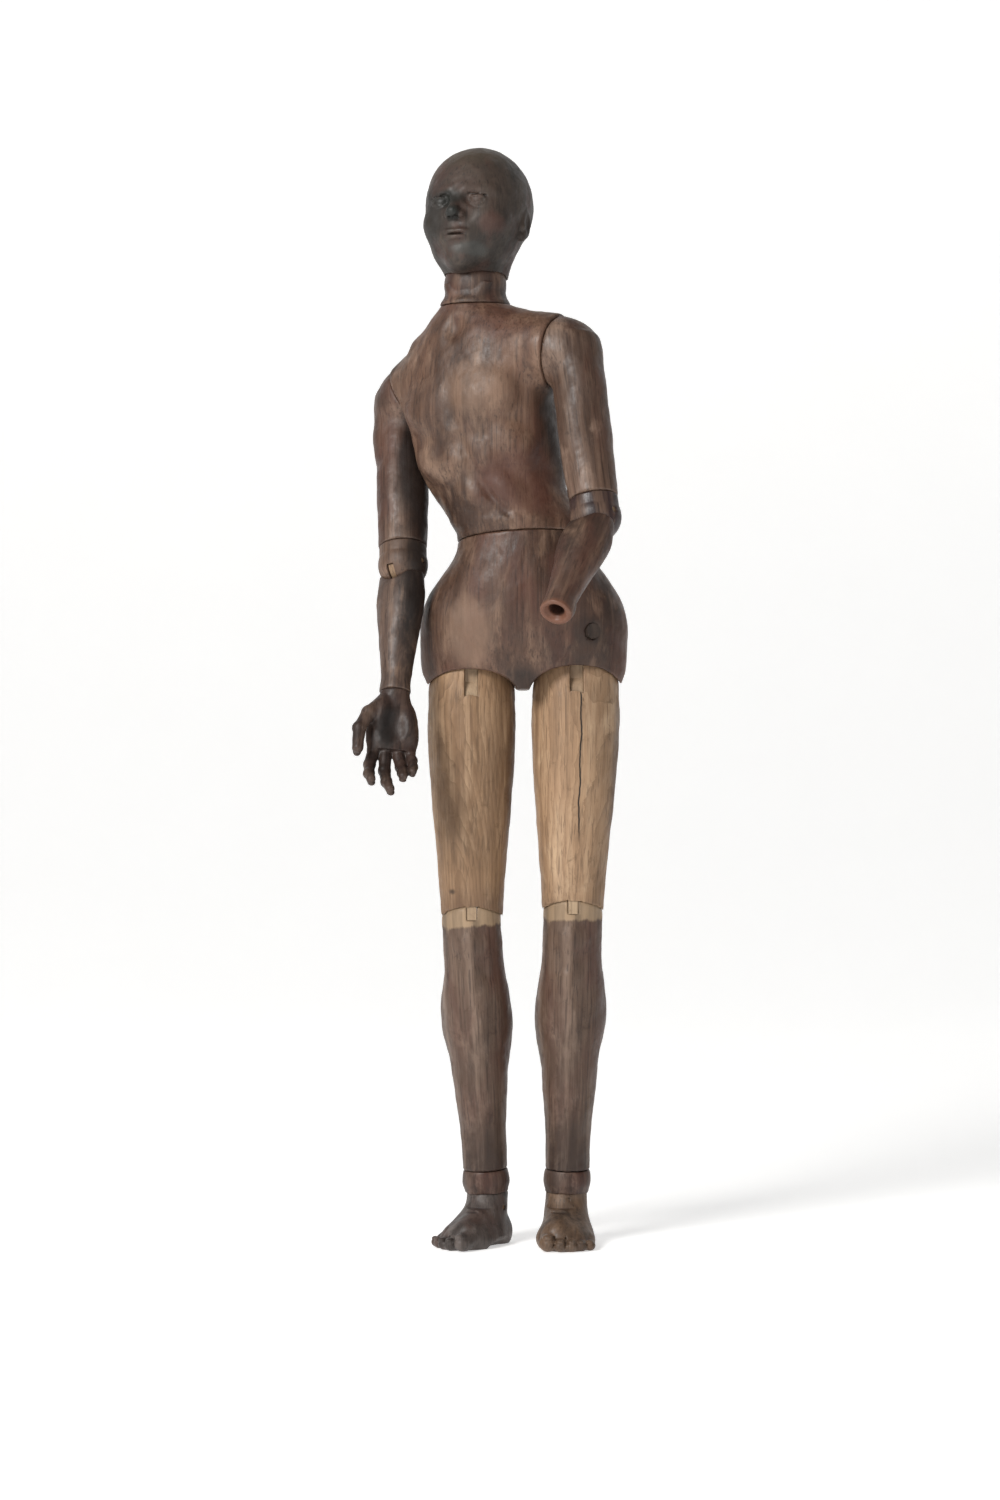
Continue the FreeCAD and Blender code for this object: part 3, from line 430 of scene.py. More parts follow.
def wood(name, dark, mid, light, tint=None, rings=0.0, ring_size=2.4, ring_turn=(0.06, 0.03, 0),
         ring_move=(0.03, 0.05, 0), seed=0.0, gloss=0.46, wear=0.6, bare=None, bare_above=None,
         paints=(), cracks=(), patch=11.0, streaks=1.0):
    """Carved wood under a worn stain: fibres, streaks, rubbed patches, rings, worn edges, grime, and painted shade in
    hollows and creases.

    Above bare_above, a height in the piece's own frame, the wood was never stained.
    paints are (centre, half sizes, colour, strength) of soft spots, painted shade and painted highlights among them,
    and cracks are (x, lowest z, highest z) of dark splits, all in the piece's frame, in metres.
    """
    s = Shader(name)
    plain = s.add("TexCoord").outputs["Object"]
    here = s.add("VectorMath", {"operation": "ADD"}, i0=plain, i1=(seed, seed * 0.7, seed * 1.3)).outputs[0]
    fibre = s.noise(s.stretched(here, (1, 1, 0.02)), 620, 4.0, 0.62)
    streak = s.noise(s.stretched(here, (1, 1, 0.05)), 105, 5.0, 0.62, 0.15)
    patches = s.noise(s.stretched(here, (1, 1, 0.4)), patch, 5.0, 0.58, 0.3)
    rub = s.noise(s.stretched(here, (1, 1, 0.5)), 38, 5.0, 0.62, 0.4)
    grime = s.noise(here, 85, 6.0, 0.7, 0.3)
    pores = s.noise(s.stretched(here, (1, 1, 0.03)), 1900, 2.0, 0.5)
    point = s.add("NewGeometry").outputs["Pointiness"]
    colour = s.mix(s.level(patches, 0.34, 0.62), dark, mid)
    colour = s.mix(s.math("MULTIPLY", s.level(streak, 0.46, 0.70), 0.42 * streaks), colour, light)
    colour = s.mix(s.math("MULTIPLY", s.level(streak, 0.52, 0.30), 0.55 * streaks), colour, dark)
    colour = s.mix(s.math("MULTIPLY", s.level(rub, 0.52, 0.74), wear), colour, light)
    if tint:
        other = s.noise(s.stretched(here, (1, 1, 0.5)), patch * 1.6, 4.0, 0.55, 0.4)
        colour = s.mix(s.math("MULTIPLY", s.level(other, 0.46, 0.66), 0.55), colour, tint)
    height = s.math("ADD", s.math("MULTIPLY", fibre, 0.6), s.math("MULTIPLY", pores, 0.25))
    if rings:
        turned_here = s.stretched(plain, (1, 1, 1), ring_turn, ring_move)
        warp = s.noise(s.stretched(here, (1, 1, 0.3)), 22, 3.0, 0.5)
        moved = s.add("VectorMath", {"operation": "ADD"}, i0=turned_here, i1=s.add(
            "VectorMath", {"operation": "SCALE"}, i0=s.add("CombineXYZ", X=warp, Y=warp).outputs[0],
            Scale=0.010).outputs[0]).outputs[0]
        wave = s.add("TexWave", {"wave_type": "RINGS", "rings_direction": "Z", "wave_profile": "SAW"},
                     Vector=moved, Scale=0.314 / (ring_size * MM), Distortion=0.8, Detail=2.0,
                     Detail_Scale=1.5).outputs[1]
        late = s.math("POWER", wave, 2.2)
        colour = s.mix(s.math("MULTIPLY", late, rings), colour, dark)
        height = s.math("SUBTRACT", height, s.math("MULTIPLY", late, 0.2))
    colour = s.mix(s.math("MULTIPLY", s.level(fibre, 0.50, 0.32), 0.55), colour,
                   rgb(*[c * 0.55 for c in dark[:3]]))
    colour = s.mix(s.math("MULTIPLY", s.level(grime, 0.56, 0.76), 0.45), colour,
                   rgb(*[c * 0.45 for c in dark[:3]]))
    # Soft spots: painted shade and painted highlights, and stains of the wood's own colour.
    for centre, half, shade, strength in paints:
        away = s.add("VectorMath", {"operation": "SUBTRACT"}, i0=plain, i1=centre).outputs[0]
        away = s.add("VectorMath", {"operation": "DIVIDE"}, i0=away, i1=half).outputs[0]
        away = s.add("VectorMath", {"operation": "LENGTH"}, i0=away).outputs["Value"]
        ragged = s.math("ADD", away, s.math("SUBTRACT", rub, 0.5))
        colour = s.mix(s.math("MULTIPLY", s.level(ragged, 1.0, 0.45), strength), colour, shade)
    if bare or cracks:
        axes = s.add("SeparateXYZ", Vector=plain).outputs
    if bare:
        ragged = s.math("ADD", axes["Z"], s.math("MULTIPLY", s.math("SUBTRACT", rub, 0.5), 0.02))
        edge = s.level(ragged, bare_above - 0.0015, bare_above + 0.0015)
        raw = s.mix(s.level(streak, 0.32, 0.66), rgb(*[c * 0.5 for c in bare[:3]]), bare)
        colour = s.mix(edge, colour, raw)
    for across, low, high in cracks:
        wander = s.math("MULTIPLY", s.math("SUBTRACT", s.noise(s.stretched(here, (0, 0, 1)), 30, 3.0), 0.5), 0.006)
        off = s.math("ABSOLUTE", s.math("SUBTRACT", s.math("ADD", axes["X"], wander), across))
        line = s.math("MULTIPLY", s.level(off, 0.0009, 0.0003), s.math("MULTIPLY", s.level(
            axes["Z"], low, low + 0.02), s.level(axes["Z"], high, high - 0.01)))
        front = s.level(axes["Y"], -0.005, -0.012)
        line = s.math("MULTIPLY", line, front)
        colour = s.mix(line, colour, rgb(0.01, 0.006, 0.004))
        height = s.math("SUBTRACT", height, line)
    colour = s.mix(s.math("MULTIPLY", s.level(point, 0.52, 0.62), 0.25), colour, light)
    # Painted shade: hollows and creases, where pointiness is low, darken towards near-black.
    colour = s.mix(s.math("MULTIPLY", s.level(point, 0.488, 0.42), 0.85), colour,
                   rgb(*[c * 0.3 for c in dark[:3]]))
    rough = s.math("ADD", s.level(grime, 0.3, 0.75, gloss - 0.06, gloss + 0.2),
                   s.math("MULTIPLY", s.math("SUBTRACT", fibre, 0.5), 0.25))
    bump = s.add("Bump", Strength=0.4, Distance=0.0005, Height=height).outputs[0]
    dents = s.add("Bump", Strength=0.22, Distance=0.0015, Height=s.noise(here, 150, 5.0, 0.6),
                  Normal=bump).outputs[0]
    shader = s.add("BsdfPrincipled", Base_Color=colour, Roughness=rough, Normal=dents,
                   Specular_IOR_Level=0.4)
    s.tree.links.new(shader.outputs[0], s.add("OutputMaterial").inputs[0])
    return s.material


DARK, MID, LIGHT = rgb(0.034, 0.018, 0.012), rgb(0.125, 0.066, 0.042), rgb(0.27, 0.17, 0.115)
RED = rgb(0.085, 0.030, 0.020)
BARE = rgb(0.42, 0.29, 0.18)
# Near-black: painted shade in the soft spots below, and the dark knot on the right thigh.
SHADE = rgb(0.010, 0.007, 0.006)

M = {
    "torso": wood("torso_wood", DARK, MID, LIGHT, tint=RED, seed=0.31, rings=0.15, ring_size=4.5,
                  # Soft spots: painted shade down the left flank beside the arm, a reddish stain on the belly, and a
                  # painted highlight on the right of the chest.
                  paints=(((0.030, -0.020, 0.095), (0.022, 0.045, 0.075), SHADE, 0.75),
                          ((0.004, -0.040, 0.045), (0.050, 0.030, 0.038), RED, 0.55),
                          ((-0.040, -0.040, 0.118), (0.035, 0.030, 0.030), LIGHT, 0.35))),
    "pelvis": wood("pelvis_wood", DARK, MID, LIGHT, tint=RED, seed=0.77, rings=0.15, ring_size=4.0,
                   # Soft spots: a painted highlight on the right front, painted shade at the crotch and on the left
                   # front.
                   paints=(((-0.045, -0.040, 0.045), (0.030, 0.030, 0.035), LIGHT, 0.45),
                           ((0.0, -0.045, 0.004), (0.020, 0.030, 0.022), SHADE, 0.7),
                           ((0.052, -0.045, 0.047), (0.020, 0.030, 0.016), SHADE, 0.45))),
    "right_arm": wood("right_arm_wood", DARK, rgb(0.135, 0.080, 0.055), rgb(0.29, 0.20, 0.15), tint=RED,
                      seed=1.3, rings=0.15, ring_size=3.5,
                      # Painted shade down the arm's inner side.
                      paints=(((0.022, 0.0, 0.080), (0.022, 0.040, 0.095), SHADE, 0.9),)),
    "left_arm": wood("left_arm_wood", DARK, rgb(0.135, 0.080, 0.055), rgb(0.28, 0.19, 0.14), tint=RED,
                     seed=1.7, rings=0.2, ring_size=3.5, wear=0.8),
    "right_ball": wood("right_elbow_wood", DARK, rgb(0.12, 0.072, 0.05), LIGHT, seed=1.9, wear=0.6,
                       # Painted shade on the ball's inner side.
                       paints=(((0.022, 0.0, 0.0), (0.018, 0.030, 0.030), SHADE, 0.9),)),
    "left_ball": wood("left_elbow_wood", rgb(0.022, 0.012, 0.012), rgb(0.060, 0.033, 0.030), LIGHT,
                      seed=2.0, wear=0.4, gloss=0.36),
    "right_forearm": wood("right_forearm_wood", rgb(0.022, 0.014, 0.011), rgb(0.080, 0.050, 0.038), LIGHT,
                          # Painted shade down the forearm's inner side.
                          seed=2.2, wear=0.6, paints=(((0.020, 0.0, -0.03), (0.018, 0.030, 0.10), SHADE, 0.85),)),
    "left_forearm": wood("left_forearm_wood", rgb(0.035, 0.020, 0.014), rgb(0.105, 0.060, 0.042), LIGHT,
                         tint=RED, seed=2.4, wear=0.6,
                         paints=(((0.0, 0.0, -0.1105), (0.020, 0.020, 0.006), rgb(0.17, 0.070, 0.040), 0.75),)),
    "hand": wood("hand_wood", rgb(0.013, 0.008, 0.006), rgb(0.045, 0.024, 0.018), rgb(0.13, 0.085, 0.062),
                 seed=2.6, patch=30.0, wear=0.7,
                 # Painted shade in the hollow of the cupped palm.
                 paints=(((-0.004, -0.012, -0.034), (0.014, 0.014, 0.022), rgb(0.006, 0.004, 0.003), 0.7),)),
    "head": wood("head_wood", rgb(0.024, 0.020, 0.017), rgb(0.056, 0.039, 0.030), rgb(0.11, 0.083, 0.062),
                 tint=rgb(0.070, 0.034, 0.026), seed=3.1, patch=26.0, wear=0.5, gloss=0.5, streaks=0.6,
                 # Soft spots: a dark greenish patch between the eyes, painted shade under the nose, a red cheek, a
                 # painted highlight on the chin below the lip, and a lighter crown.
                 paints=(((-0.006, -0.046, 0.060), (0.016, 0.016, 0.010), rgb(0.010, 0.012, 0.010), 0.8),
                         ((0.0, -0.052, 0.046), (0.009, 0.016, 0.008), rgb(0.008, 0.011, 0.010), 0.8),
                         ((0.026, -0.034, 0.042), (0.014, 0.014, 0.012), rgb(0.085, 0.034, 0.024), 0.4),
                         ((0.010, -0.040, 0.020), (0.022, 0.020, 0.007), rgb(0.050, 0.052, 0.048), 0.6),
                         ((0.0, -0.02, 0.108), (0.040, 0.040, 0.030), rgb(0.075, 0.056, 0.038), 0.6))),
    "neck": wood("neck_wood", rgb(0.024, 0.014, 0.011), rgb(0.068, 0.040, 0.030), LIGHT, tint=RED, seed=3.4),
    "thigh": wood("thigh_wood", rgb(0.15, 0.084, 0.043), rgb(0.33, 0.20, 0.110), rgb(0.50, 0.34, 0.21),
                  seed=4.2, rings=0.62, ring_size=2.2, gloss=0.5, wear=0.5, ring_turn=(0.045, 0.012, 0),
                  ring_move=(0.004, 0.008, 0),
                  # Soft spots: a dark knot, a darker band above the knee, and painted shade down the side towards the
                  # figure's left.
                  paints=(((-0.016, -0.030, -0.148), (0.004, 0.02, 0.0035), SHADE, 0.9),
                          ((0.0, 0.0, -0.175), (0.060, 0.060, 0.045), rgb(0.095, 0.050, 0.028), 0.5),
                          ((0.036, 0.0, -0.07), (0.012, 0.040, 0.13), rgb(0.07, 0.04, 0.025), 0.7))),
    "thigh_left": wood("left_thigh_wood", rgb(0.16, 0.092, 0.050), rgb(0.36, 0.225, 0.13),
                       rgb(0.55, 0.39, 0.25), seed=4.9, rings=0.45, ring_size=2.4, gloss=0.5, wear=0.6,
                       ring_turn=(-0.05, 0.03, 0), ring_move=(-0.012, 0.004, 0),
                       cracks=((0.0035, -0.115, 0.015),),
                       # Soft spots: a darker band above the knee, and painted shade down the side towards the figure's
                       # left.
                       paints=(((0.0, 0.0, -0.185), (0.060, 0.060, 0.035), rgb(0.10, 0.058, 0.036), 0.5),
                               ((0.036, 0.0, -0.07), (0.012, 0.040, 0.13), rgb(0.08, 0.045, 0.028), 0.6))),
    "shin": wood("shin_wood", DARK, rgb(0.132, 0.082, 0.056), rgb(0.26, 0.18, 0.135), tint=RED, seed=5.5,
                 rings=0.15, ring_size=3.5, bare=rgb(0.34, 0.235, 0.145), bare_above=0.004),
    "foot_dark": wood("right_foot_wood", rgb(0.024, 0.019, 0.017), rgb(0.078, 0.060, 0.052),
                      rgb(0.19, 0.155, 0.14), seed=6.1, patch=30.0, wear=0.7, tint=rgb(0.07, 0.035, 0.026)),
    "foot_light": wood("left_foot_wood", rgb(0.045, 0.028, 0.019), rgb(0.135, 0.080, 0.048),
                       rgb(0.25, 0.165, 0.11), seed=6.7, patch=30.0, wear=0.6),
    "ankle": wood("ankle_wood", DARK, rgb(0.125, 0.076, 0.054), rgb(0.25, 0.165, 0.125), tint=RED, seed=7.2,
                  wear=0.8),
    "tongue": wood("tongue_wood", rgb(0.20, 0.12, 0.07), rgb(0.36, 0.25, 0.155), rgb(0.47, 0.35, 0.23),
                   seed=8.1, gloss=0.5, rings=0.2, ring_size=2.0),
    "dowel": wood("dowel_wood", rgb(0.10, 0.056, 0.03), rgb(0.24, 0.15, 0.088), rgb(0.34, 0.23, 0.14), seed=8.8),
    "plug": wood("plug_wood", rgb(0.006, 0.005, 0.0045), rgb(0.018, 0.013, 0.011), rgb(0.10, 0.07, 0.055),
                 seed=9.3, patch=90.0, gloss=0.34),
}


# ---------------------------------------------------------------- torso

TORSO_HEIGHTS = (-14, 2, 34, 74, 112, 142, 165, 180, 187.7)
TORSO_LEAN = (0.0, 0.0, 0.41, 0.74, 0.92, 0.97, 1.0, 1.0, 1.0)
TORSO_TURN = (0, 2, 14, 24, 30, 30, 30, 30, 30)
TORSO_TILT = (0, 0, 8, 11, 12, 12, 10, 4, 0)
TORSO_WIDE = (53.8, 53.6, 50.8, 54.6, 61.5, 60.8, 48.4, 36, 28)
TORSO_DEEP = (45, 45, 43.5, 46.5, 47.5, 42.5, 34.6, 31, 28)
chest_offset = neck_base - waist.origin


def straightened(p):
    """Torso points with its lean, turn and tilt taken out: x across, -y front, z up."""
    z = p[:, 2]
    for _ in range(3):
        lean = spline(z, TORSO_HEIGHTS, TORSO_LEAN)
        turn = np.radians(spline(z, TORSO_HEIGHTS, TORSO_TURN))
        tilt = np.radians(spline(z, TORSO_HEIGHTS, TORSO_TILT))
        across = (p[:, 0] - lean * chest_offset[0]) / np.cos(tilt)
        depth = p[:, 1] - lean * chest_offset[1]
        z = p[:, 2] - across * np.sin(tilt)
    x = across * np.cos(turn) - depth * np.sin(turn)
    y = across * np.sin(turn) + depth * np.cos(turn)
    return np.column_stack([x, y, z])


def torso_field(p):
    q = straightened(p)
    m = q * (1, 1, 1)
    m[:, 0] = np.abs(m[:, 0])
    wide = spline(q[:, 2], TORSO_HEIGHTS, TORSO_WIDE)
    deep = spline(q[:, 2], TORSO_HEIGHTS, TORSO_DEEP)
    k0 = np.hypot(q[:, 0] / wide, q[:, 1] / deep)
    k1 = np.hypot(q[:, 0] / wide**2, q[:, 1] / deep**2) + 1e-9
    d = np.where(k0 < 0.35, (k0 - 1) * np.minimum(wide, deep), k0 * (k0 - 1) / k1)
    world = waist.origin + p
    for side in SIDES:
        s = shoulder[side].inward(world)
        cone = bone(s, (0, 0, -52), (0, 0, 20), 31, 29.6)
        d = blend(d, cone, 16)
    # Chest, ribs and belly.
    d = blend(d, egg(m, (47, 2, 84), (13, 26, 42)), 12)
    d = blend(d, egg(m, (24, -31, 112), (25, 15, 21)), 10)
    d = hollow(d, bone(m, (0, -56, 134), (0, -53, 96), 2.5, 3.0), 12)
    d = hollow(d, bone(m, (4, -56, 84), (44, -45, 72), 2.2, 2.6), 10)
    d = blend(d, egg(m, (30, -26, 70), (19, 17, 20)), 9)
    d = blend(d, egg(m, (12, -36, 66), (11, 11, 15)), 7)
    d = blend(d, egg(m, (12, -33, 38), (12, 12, 16)), 8)
    d = hollow(d, bone(q, (0, -49, 84), (0, -46, 14), 1.0, 1.0), 6)
    d = hollow(d, egg(q, (0, -46.5, 34), (2.6, 3.5, 4.2)), 3)
    d = blend(d, bone(m, (8, -26, 163), (46, -15, 164), 4.5, 4.0), 9)
    d = hollow(d, egg(q, (0, -37, 170), (6, 6, 6)), 9)
    # The roll above the waist and the groove over it.
    d = blend(d, egg(q, (0, 0, 14), (51.5, 44.5, 8)), 6)
    # Back: spine, shoulder blades and the loin.
    d = hollow(d, bone(q, (0, 52, 150), (0, 50, 10), 4, 3.5), 14)
    d = blend(d, egg(m, (29, 30, 122), (19, 15, 27)), 10)
    d = blend(d, egg(m, (15, 30, 36), (13, 14, 30)), 10)
    d = d + 0.35 * waves(p, 34, 1.1) + 0.12 * waves(p, 11, 2.0)
    # Working faces.
    w = waist.inward(world)
    d = hollow(d, w[:, 2] - FACE_GAP, 1.6)
    for side in SIDES:
        s = shoulder[side].inward(world)
        beyond = slab(s, (-36, -46, 0), (36, 46, 80))
        d = hollow(d, beyond, 1.2)
        # The arm sweeps a cone about its peg.
        swept = (s[:, 2] - 1.0 - (np.hypot(s[:, 0], s[:, 1]) - 26.0) * 0.349) * -0.944
        d = hollow(d, np.maximum(swept, np.maximum(-s[:, 2], s[:, 2] - 34)), 1.2)
        # The shoulder rounds over to the arm's cap.
        shoulder_high = shoulder[side].origin[2] - 6 - world[:, 2]
        over = np.maximum(30.5 - 0.75 * s[:, 2] - np.hypot(s[:, 0], s[:, 1]), -15 - s[:, 2])
        d = hollow(d, np.maximum(over * 0.8, shoulder_high), 3)
        d = hollow(d, tube(s, 6.5 + RUN_GAP, -34.5, 5), 0.3)
    d = hollow(d, -(world[:, 2] - neck_base[2] + FACE_GAP), 1.4)
    return d


carve("carved_torso", Frame(waist.origin, Z, X), (-128, -66, -8), (64, 76, 196), 1.25, torso_field,
      "torso", M["torso"])


# ---------------------------------------------------------------- pelvis

pelvis_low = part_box("pelvis")[0][2] / MM
PELVIS_RISE = waist.origin[2] - pelvis_low
pelvis = Frame((waist.origin[0], waist.origin[1], pelvis_low), Z, X)
PELVIS_WIDE, PELVIS_DEEP = 83.0, 54.0
PELVIS_STATIONS = (
    (0.0, 0.93, 0.70, 2), (0.13, 0.985, 0.77, 3), (0.28, 1.0, 0.90, 4), (0.48, 0.99, 0.95, 3),
    (0.62, 0.925, 0.91, 2), (0.75, 0.80, 0.86, 1), (0.88, 0.675, 0.83, 0), (1.1, 0.635, 0.83, 0),
)


def pelvis_field(p):
    m = np.column_stack([np.abs(p[:, 0]), p[:, 1], p[:, 2]])
    d = column(p, [(h * PELVIS_RISE, w * PELVIS_WIDE, t * PELVIS_DEEP, 0, back)
                   for h, w, t, back in PELVIS_STATIONS])
    d = blend(d, egg(p, (0, -24, 84), (46, 21, 38)), 16)
    d = blend(d, egg(m, (32, 26, 40), (36, 30, 38)), 10)
    d = hollow(d, bone(p, (0, 66, -4), (0, 57, 66), 5, 2), 9)
    d = hollow(d, bone(m, (66, -40, 50), (14, -52, 2), 2.4, 2.6), 10)
    d = hollow(d, bone(p, (0, 62, 70), (0, 52, 125), 2, 2), 12)
    d = d + 0.35 * waves(p, 38, 0.4) + 0.12 * waves(p, 12, 3.0)
    d = np.maximum(d, -p[:, 2])
    world = pelvis.origin + p
    w = waist.inward(world)
    d = hollow(d, -w[:, 2], 1.6)
    for side in SIDES:
        h = hip[side].inward(world)
        d = hollow(d, egg(h, (0, 0, 0), (37 + BALL_GAP, 44 + BALL_GAP, 44 + BALL_GAP)), 1.6)
        # The rim arches over the thigh, front and back.
        arch = np.column_stack([h[:, 0], h[:, 2] - 8.0])
        arch = np.linalg.norm(arch / (37.0, 21.0), axis=1) - 1
        d = hollow(d, arch * 21.0, 1.6)
        d = hollow(d, slab(h, (-5, -27, 0), (5, 27, 62)), 0.3)
    plug = plug_frame.inward(world)
    d = hollow(d, tube(plug, 6.1, -16, 30), 0.6)
    return d


plug_low, plug_high = (np.array(c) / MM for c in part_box("pelvis_plug"))
plug_middle = (plug_low + plug_high) / 2
plug_axis = unit((0.5, -0.86, 0.1))
plug_frame = Frame(plug_middle + plug_axis * 7.75, plug_axis, X)

carve("carved_pelvis", pelvis, (-88, -62, -3), (88, 66, 132), 1.25, pelvis_field, "pelvis",
      M["pelvis"])


# ---------------------------------------------------------------- neck and head

def neck_field(p):
    """In the nod's frame."""
    rise = nod.origin[2] - neck_base[2]
    d = column(p, [(-rise - 2, 28, 28), (-rise + 2, 28, 28), (-rise + 6, 25.6, 25.4), (-rise + 10, 24.5, 24.3),
                   (-3, 24.4, 24.2), (3, 24.4, 24.2)])
    m = np.column_stack([np.abs(p[:, 0]), p[:, 1], p[:, 2]])
    d = blend(d, bone(m, (7, -21.5, -rise), (17, -15.5, 2), 4.2, 4.0), 3)
    d = np.maximum(d, p[:, 2])
    d = np.minimum(d, egg(p, (0, 0, 0), (25, 25, 25)))
    d = np.maximum(d, -rise - p[:, 2])
    d = d + 0.15 * waves(p, 16, 5.0)
    d = np.where(p[:, 2] > 0.5, np.maximum(d, egg(p, (0, 0, 0), (25, 25, 25))), d)
    room = slot_room(p, 6.0, 11.0, 8, 8, 0, 60, (-14, 0, 14))
    return hollow(d, room, 0.5)


carve("carved_neck", nod, (-31, -31, -20), (31, 31, 27), 0.9, neck_field, "neck", M["neck"])


def head_field(p):
    m = np.column_stack([np.abs(p[:, 0]), p[:, 1], p[:, 2]])
    d = egg(p, (0, 6, 66), (41, 48.5, 46.5))
    d = blend(d, egg(p, (0, -15, 74), (31, 26, 27)), 12)
    d = blend(d, egg(p, (0, -8, 37), (35, 37, 36)), 12)
    d = blend(d, egg(p, (0, -9, 60), (35, 36.5, 24)), 12)
    d = blend(d, egg(m, (21, -25, 44), (13, 13, 11)), 10)
    d = blend(d, egg(p, (0, -33, 14), (11, 9.5, 8.5)), 9)
    d = blend(d, tube(p, 24.8, -2, 30, (0, 4)), 8)
    # Brow, eyes and nose.
    d = blend(d, bone(m, (6, -41.5, 66.5), (24, -33, 67.5), 4.0, 3.2), 6)
    d = hollow(d, egg(m, (15.5, -47.0, 59.0), (9.5, 7.0, 5.6)), 5)
    lid = egg(m, (15.5, -37.2, 58.6), (8.8, 7.6, 7.0))
    gap = egg(m, (15.5, -46, 58.2), (7.6, 9, 2.7))
    lid = hollow(lid, gap, 0.6)
    eye = egg(m, (15.5, -37.0, 58.6), (7.9, 6.7, 6.3))
    d = blend(d, np.minimum(lid, eye), 1.2)
    d = hollow(d, bone(m, (9.5, -43.8, 63.6), (22.5, -39.6, 62.4), 0.7, 0.7), 1.5)
    nose = bone(p, (0, -41.5, 63), (0, -52.5, 48.5), 3.2, 4.3)
    nose = blend(nose, egg(p, (0, -53.0, 47.2), (5.0, 4.6, 4.2)), 2.5)
    nose = blend(nose, egg(m, (5.4, -47.6, 45.6), (3.2, 4.6, 3.4)), 2.0)
    d = blend(d, nose, 4.5)
    d = hollow(d, egg(m, (2.9, -51.0, 42.6), (1.5, 2.6, 1.9)), 0.9)
    # Mouth and chin.
    d = blend(d, egg(p, (0, -36, 31), (15, 10.5, 10.5)), 8)
    d = hollow(d, bone(p, (0, -49.2, 41.5), (0, -49.4, 36), 1.1, 1.2), 2.5)
    d = blend(d, egg(m, (3.6, -44.6, 33.2), (7.0, 4.2, 2.3)), 1.8)
    d = blend(d, egg(p, (0, -44.3, 28.4), (9.0, 4.3, 2.9)), 1.8)
    d = hollow(d, egg(p, (0, -49.0, 30.8), (11.0, 4.6, 0.75)), 0.8)
    d = hollow(d, bone(p, (-6, -46.4, 22.4), (6, -46.4, 22.4), 1.6, 1.6), 5)
    # Ears.
    ear = egg(m, (39.0, 4.5, 48.5), (3.6, 8.4, 12.0))
    ear = hollow(ear, egg(m, (42.8, 3.4, 49.5), (2.8, 5.0, 8.0)), 1.6)
    ear = blend(ear, egg(m, (39.8, -2.4, 45.5), (2.2, 2.0, 3.2)), 1.2)
    ear = blend(ear, egg(m, (38.4, 0.8, 38.0), (2.8, 4.2, 4.0)), 2.0)
    d = blend(d, ear, 2.2)
    d = d + 0.25 * waves(p, 26, 0.8) + 0.1 * waves(p, 8, 4.0)
    world = head.outward(p)
    h = nod.inward(world)
    d = hollow(d, h[:, 2] - 5, 1.4)
    d = hollow(d, egg(h, (0, 0, 0), (25 + BALL_GAP,) * 3), 0.8)
    return hollow(d, slab(h, (-3, -8, 0), (3, 8, 46)), 0.3)


carve("carved_head", head, (-47, -62, 0), (47, 60, 117), 0.85, head_field, "head", M["head"])


# ---------------------------------------------------------------- arms

# The elbow tongue's rounded face: its radius, and the directions it spans at rest, in degrees
# from the tongue's own axis; and how far the joint can still bend and straighten it.
ELBOW_FAN_R = 17.8
ELBOW_FAN = {"right": (-72, 0), "left": (-36, 54)}
ELBOW_TRAVEL = {"right": (60, 0), "left": (24, 35)}
ANKLE_FAN_R, ANKLE_FAN, ANKLE_TRAVEL = 18.4, 60, 15
# How far each tongue's straight part reaches to either side of its hinge.
ELBOW_EDGES, ANKLE_EDGES = (4, 2.5), (8, 8)


def fan(h, half, radius, low, high):
    """A sector of a disc about a hinge's X, between two angles from its Z towards its -Y."""
    a, b = math.radians(low), math.radians(high)
    u, w = -h[:, 1], h[:, 2]
    inside = np.maximum(u * math.cos(b) - w * math.sin(b), w * math.sin(a) - u * math.cos(a))
    return np.maximum(inside, rod_x(h, radius, half))


def make_tongue(name, place, thick, disc_r, front, back, ledge, high, spread, pin_r, body):
    """A tongue whose face follows the ball that it sits in."""
    def field(p):
        d = slab(p, (-thick / 2, -front, ledge), (thick / 2, back, high))
        d = np.minimum(d, rod_x(p, disc_r, thick / 2))
        d = np.minimum(d, fan(p, thick / 2, *spread))
        return hollow(d, rod_x(p, pin_r + RUN_GAP, 9), 0.3)

    carve("carved_" + name, place, (-4, -22, -20), (4, 22, high + 1), 0.55, field, body,
          M["tongue"])


for side in SIDES:
    make_tongue(side + "_elbow_tongue", elbow_hinge[side], 5.6, 12, *ELBOW_EDGES, 6, 36,
                (ELBOW_FAN_R, *ELBOW_FAN[side]), 2.4, side + "_forearm")
    make_tongue(side + "_ankle_tongue", ankle[side], 5.6, 12, *ANKLE_EDGES, 9, 26,
                (ANKLE_FAN_R, -ANKLE_FAN, ANKLE_FAN), 2.2, side + "_ankle_knuckle")

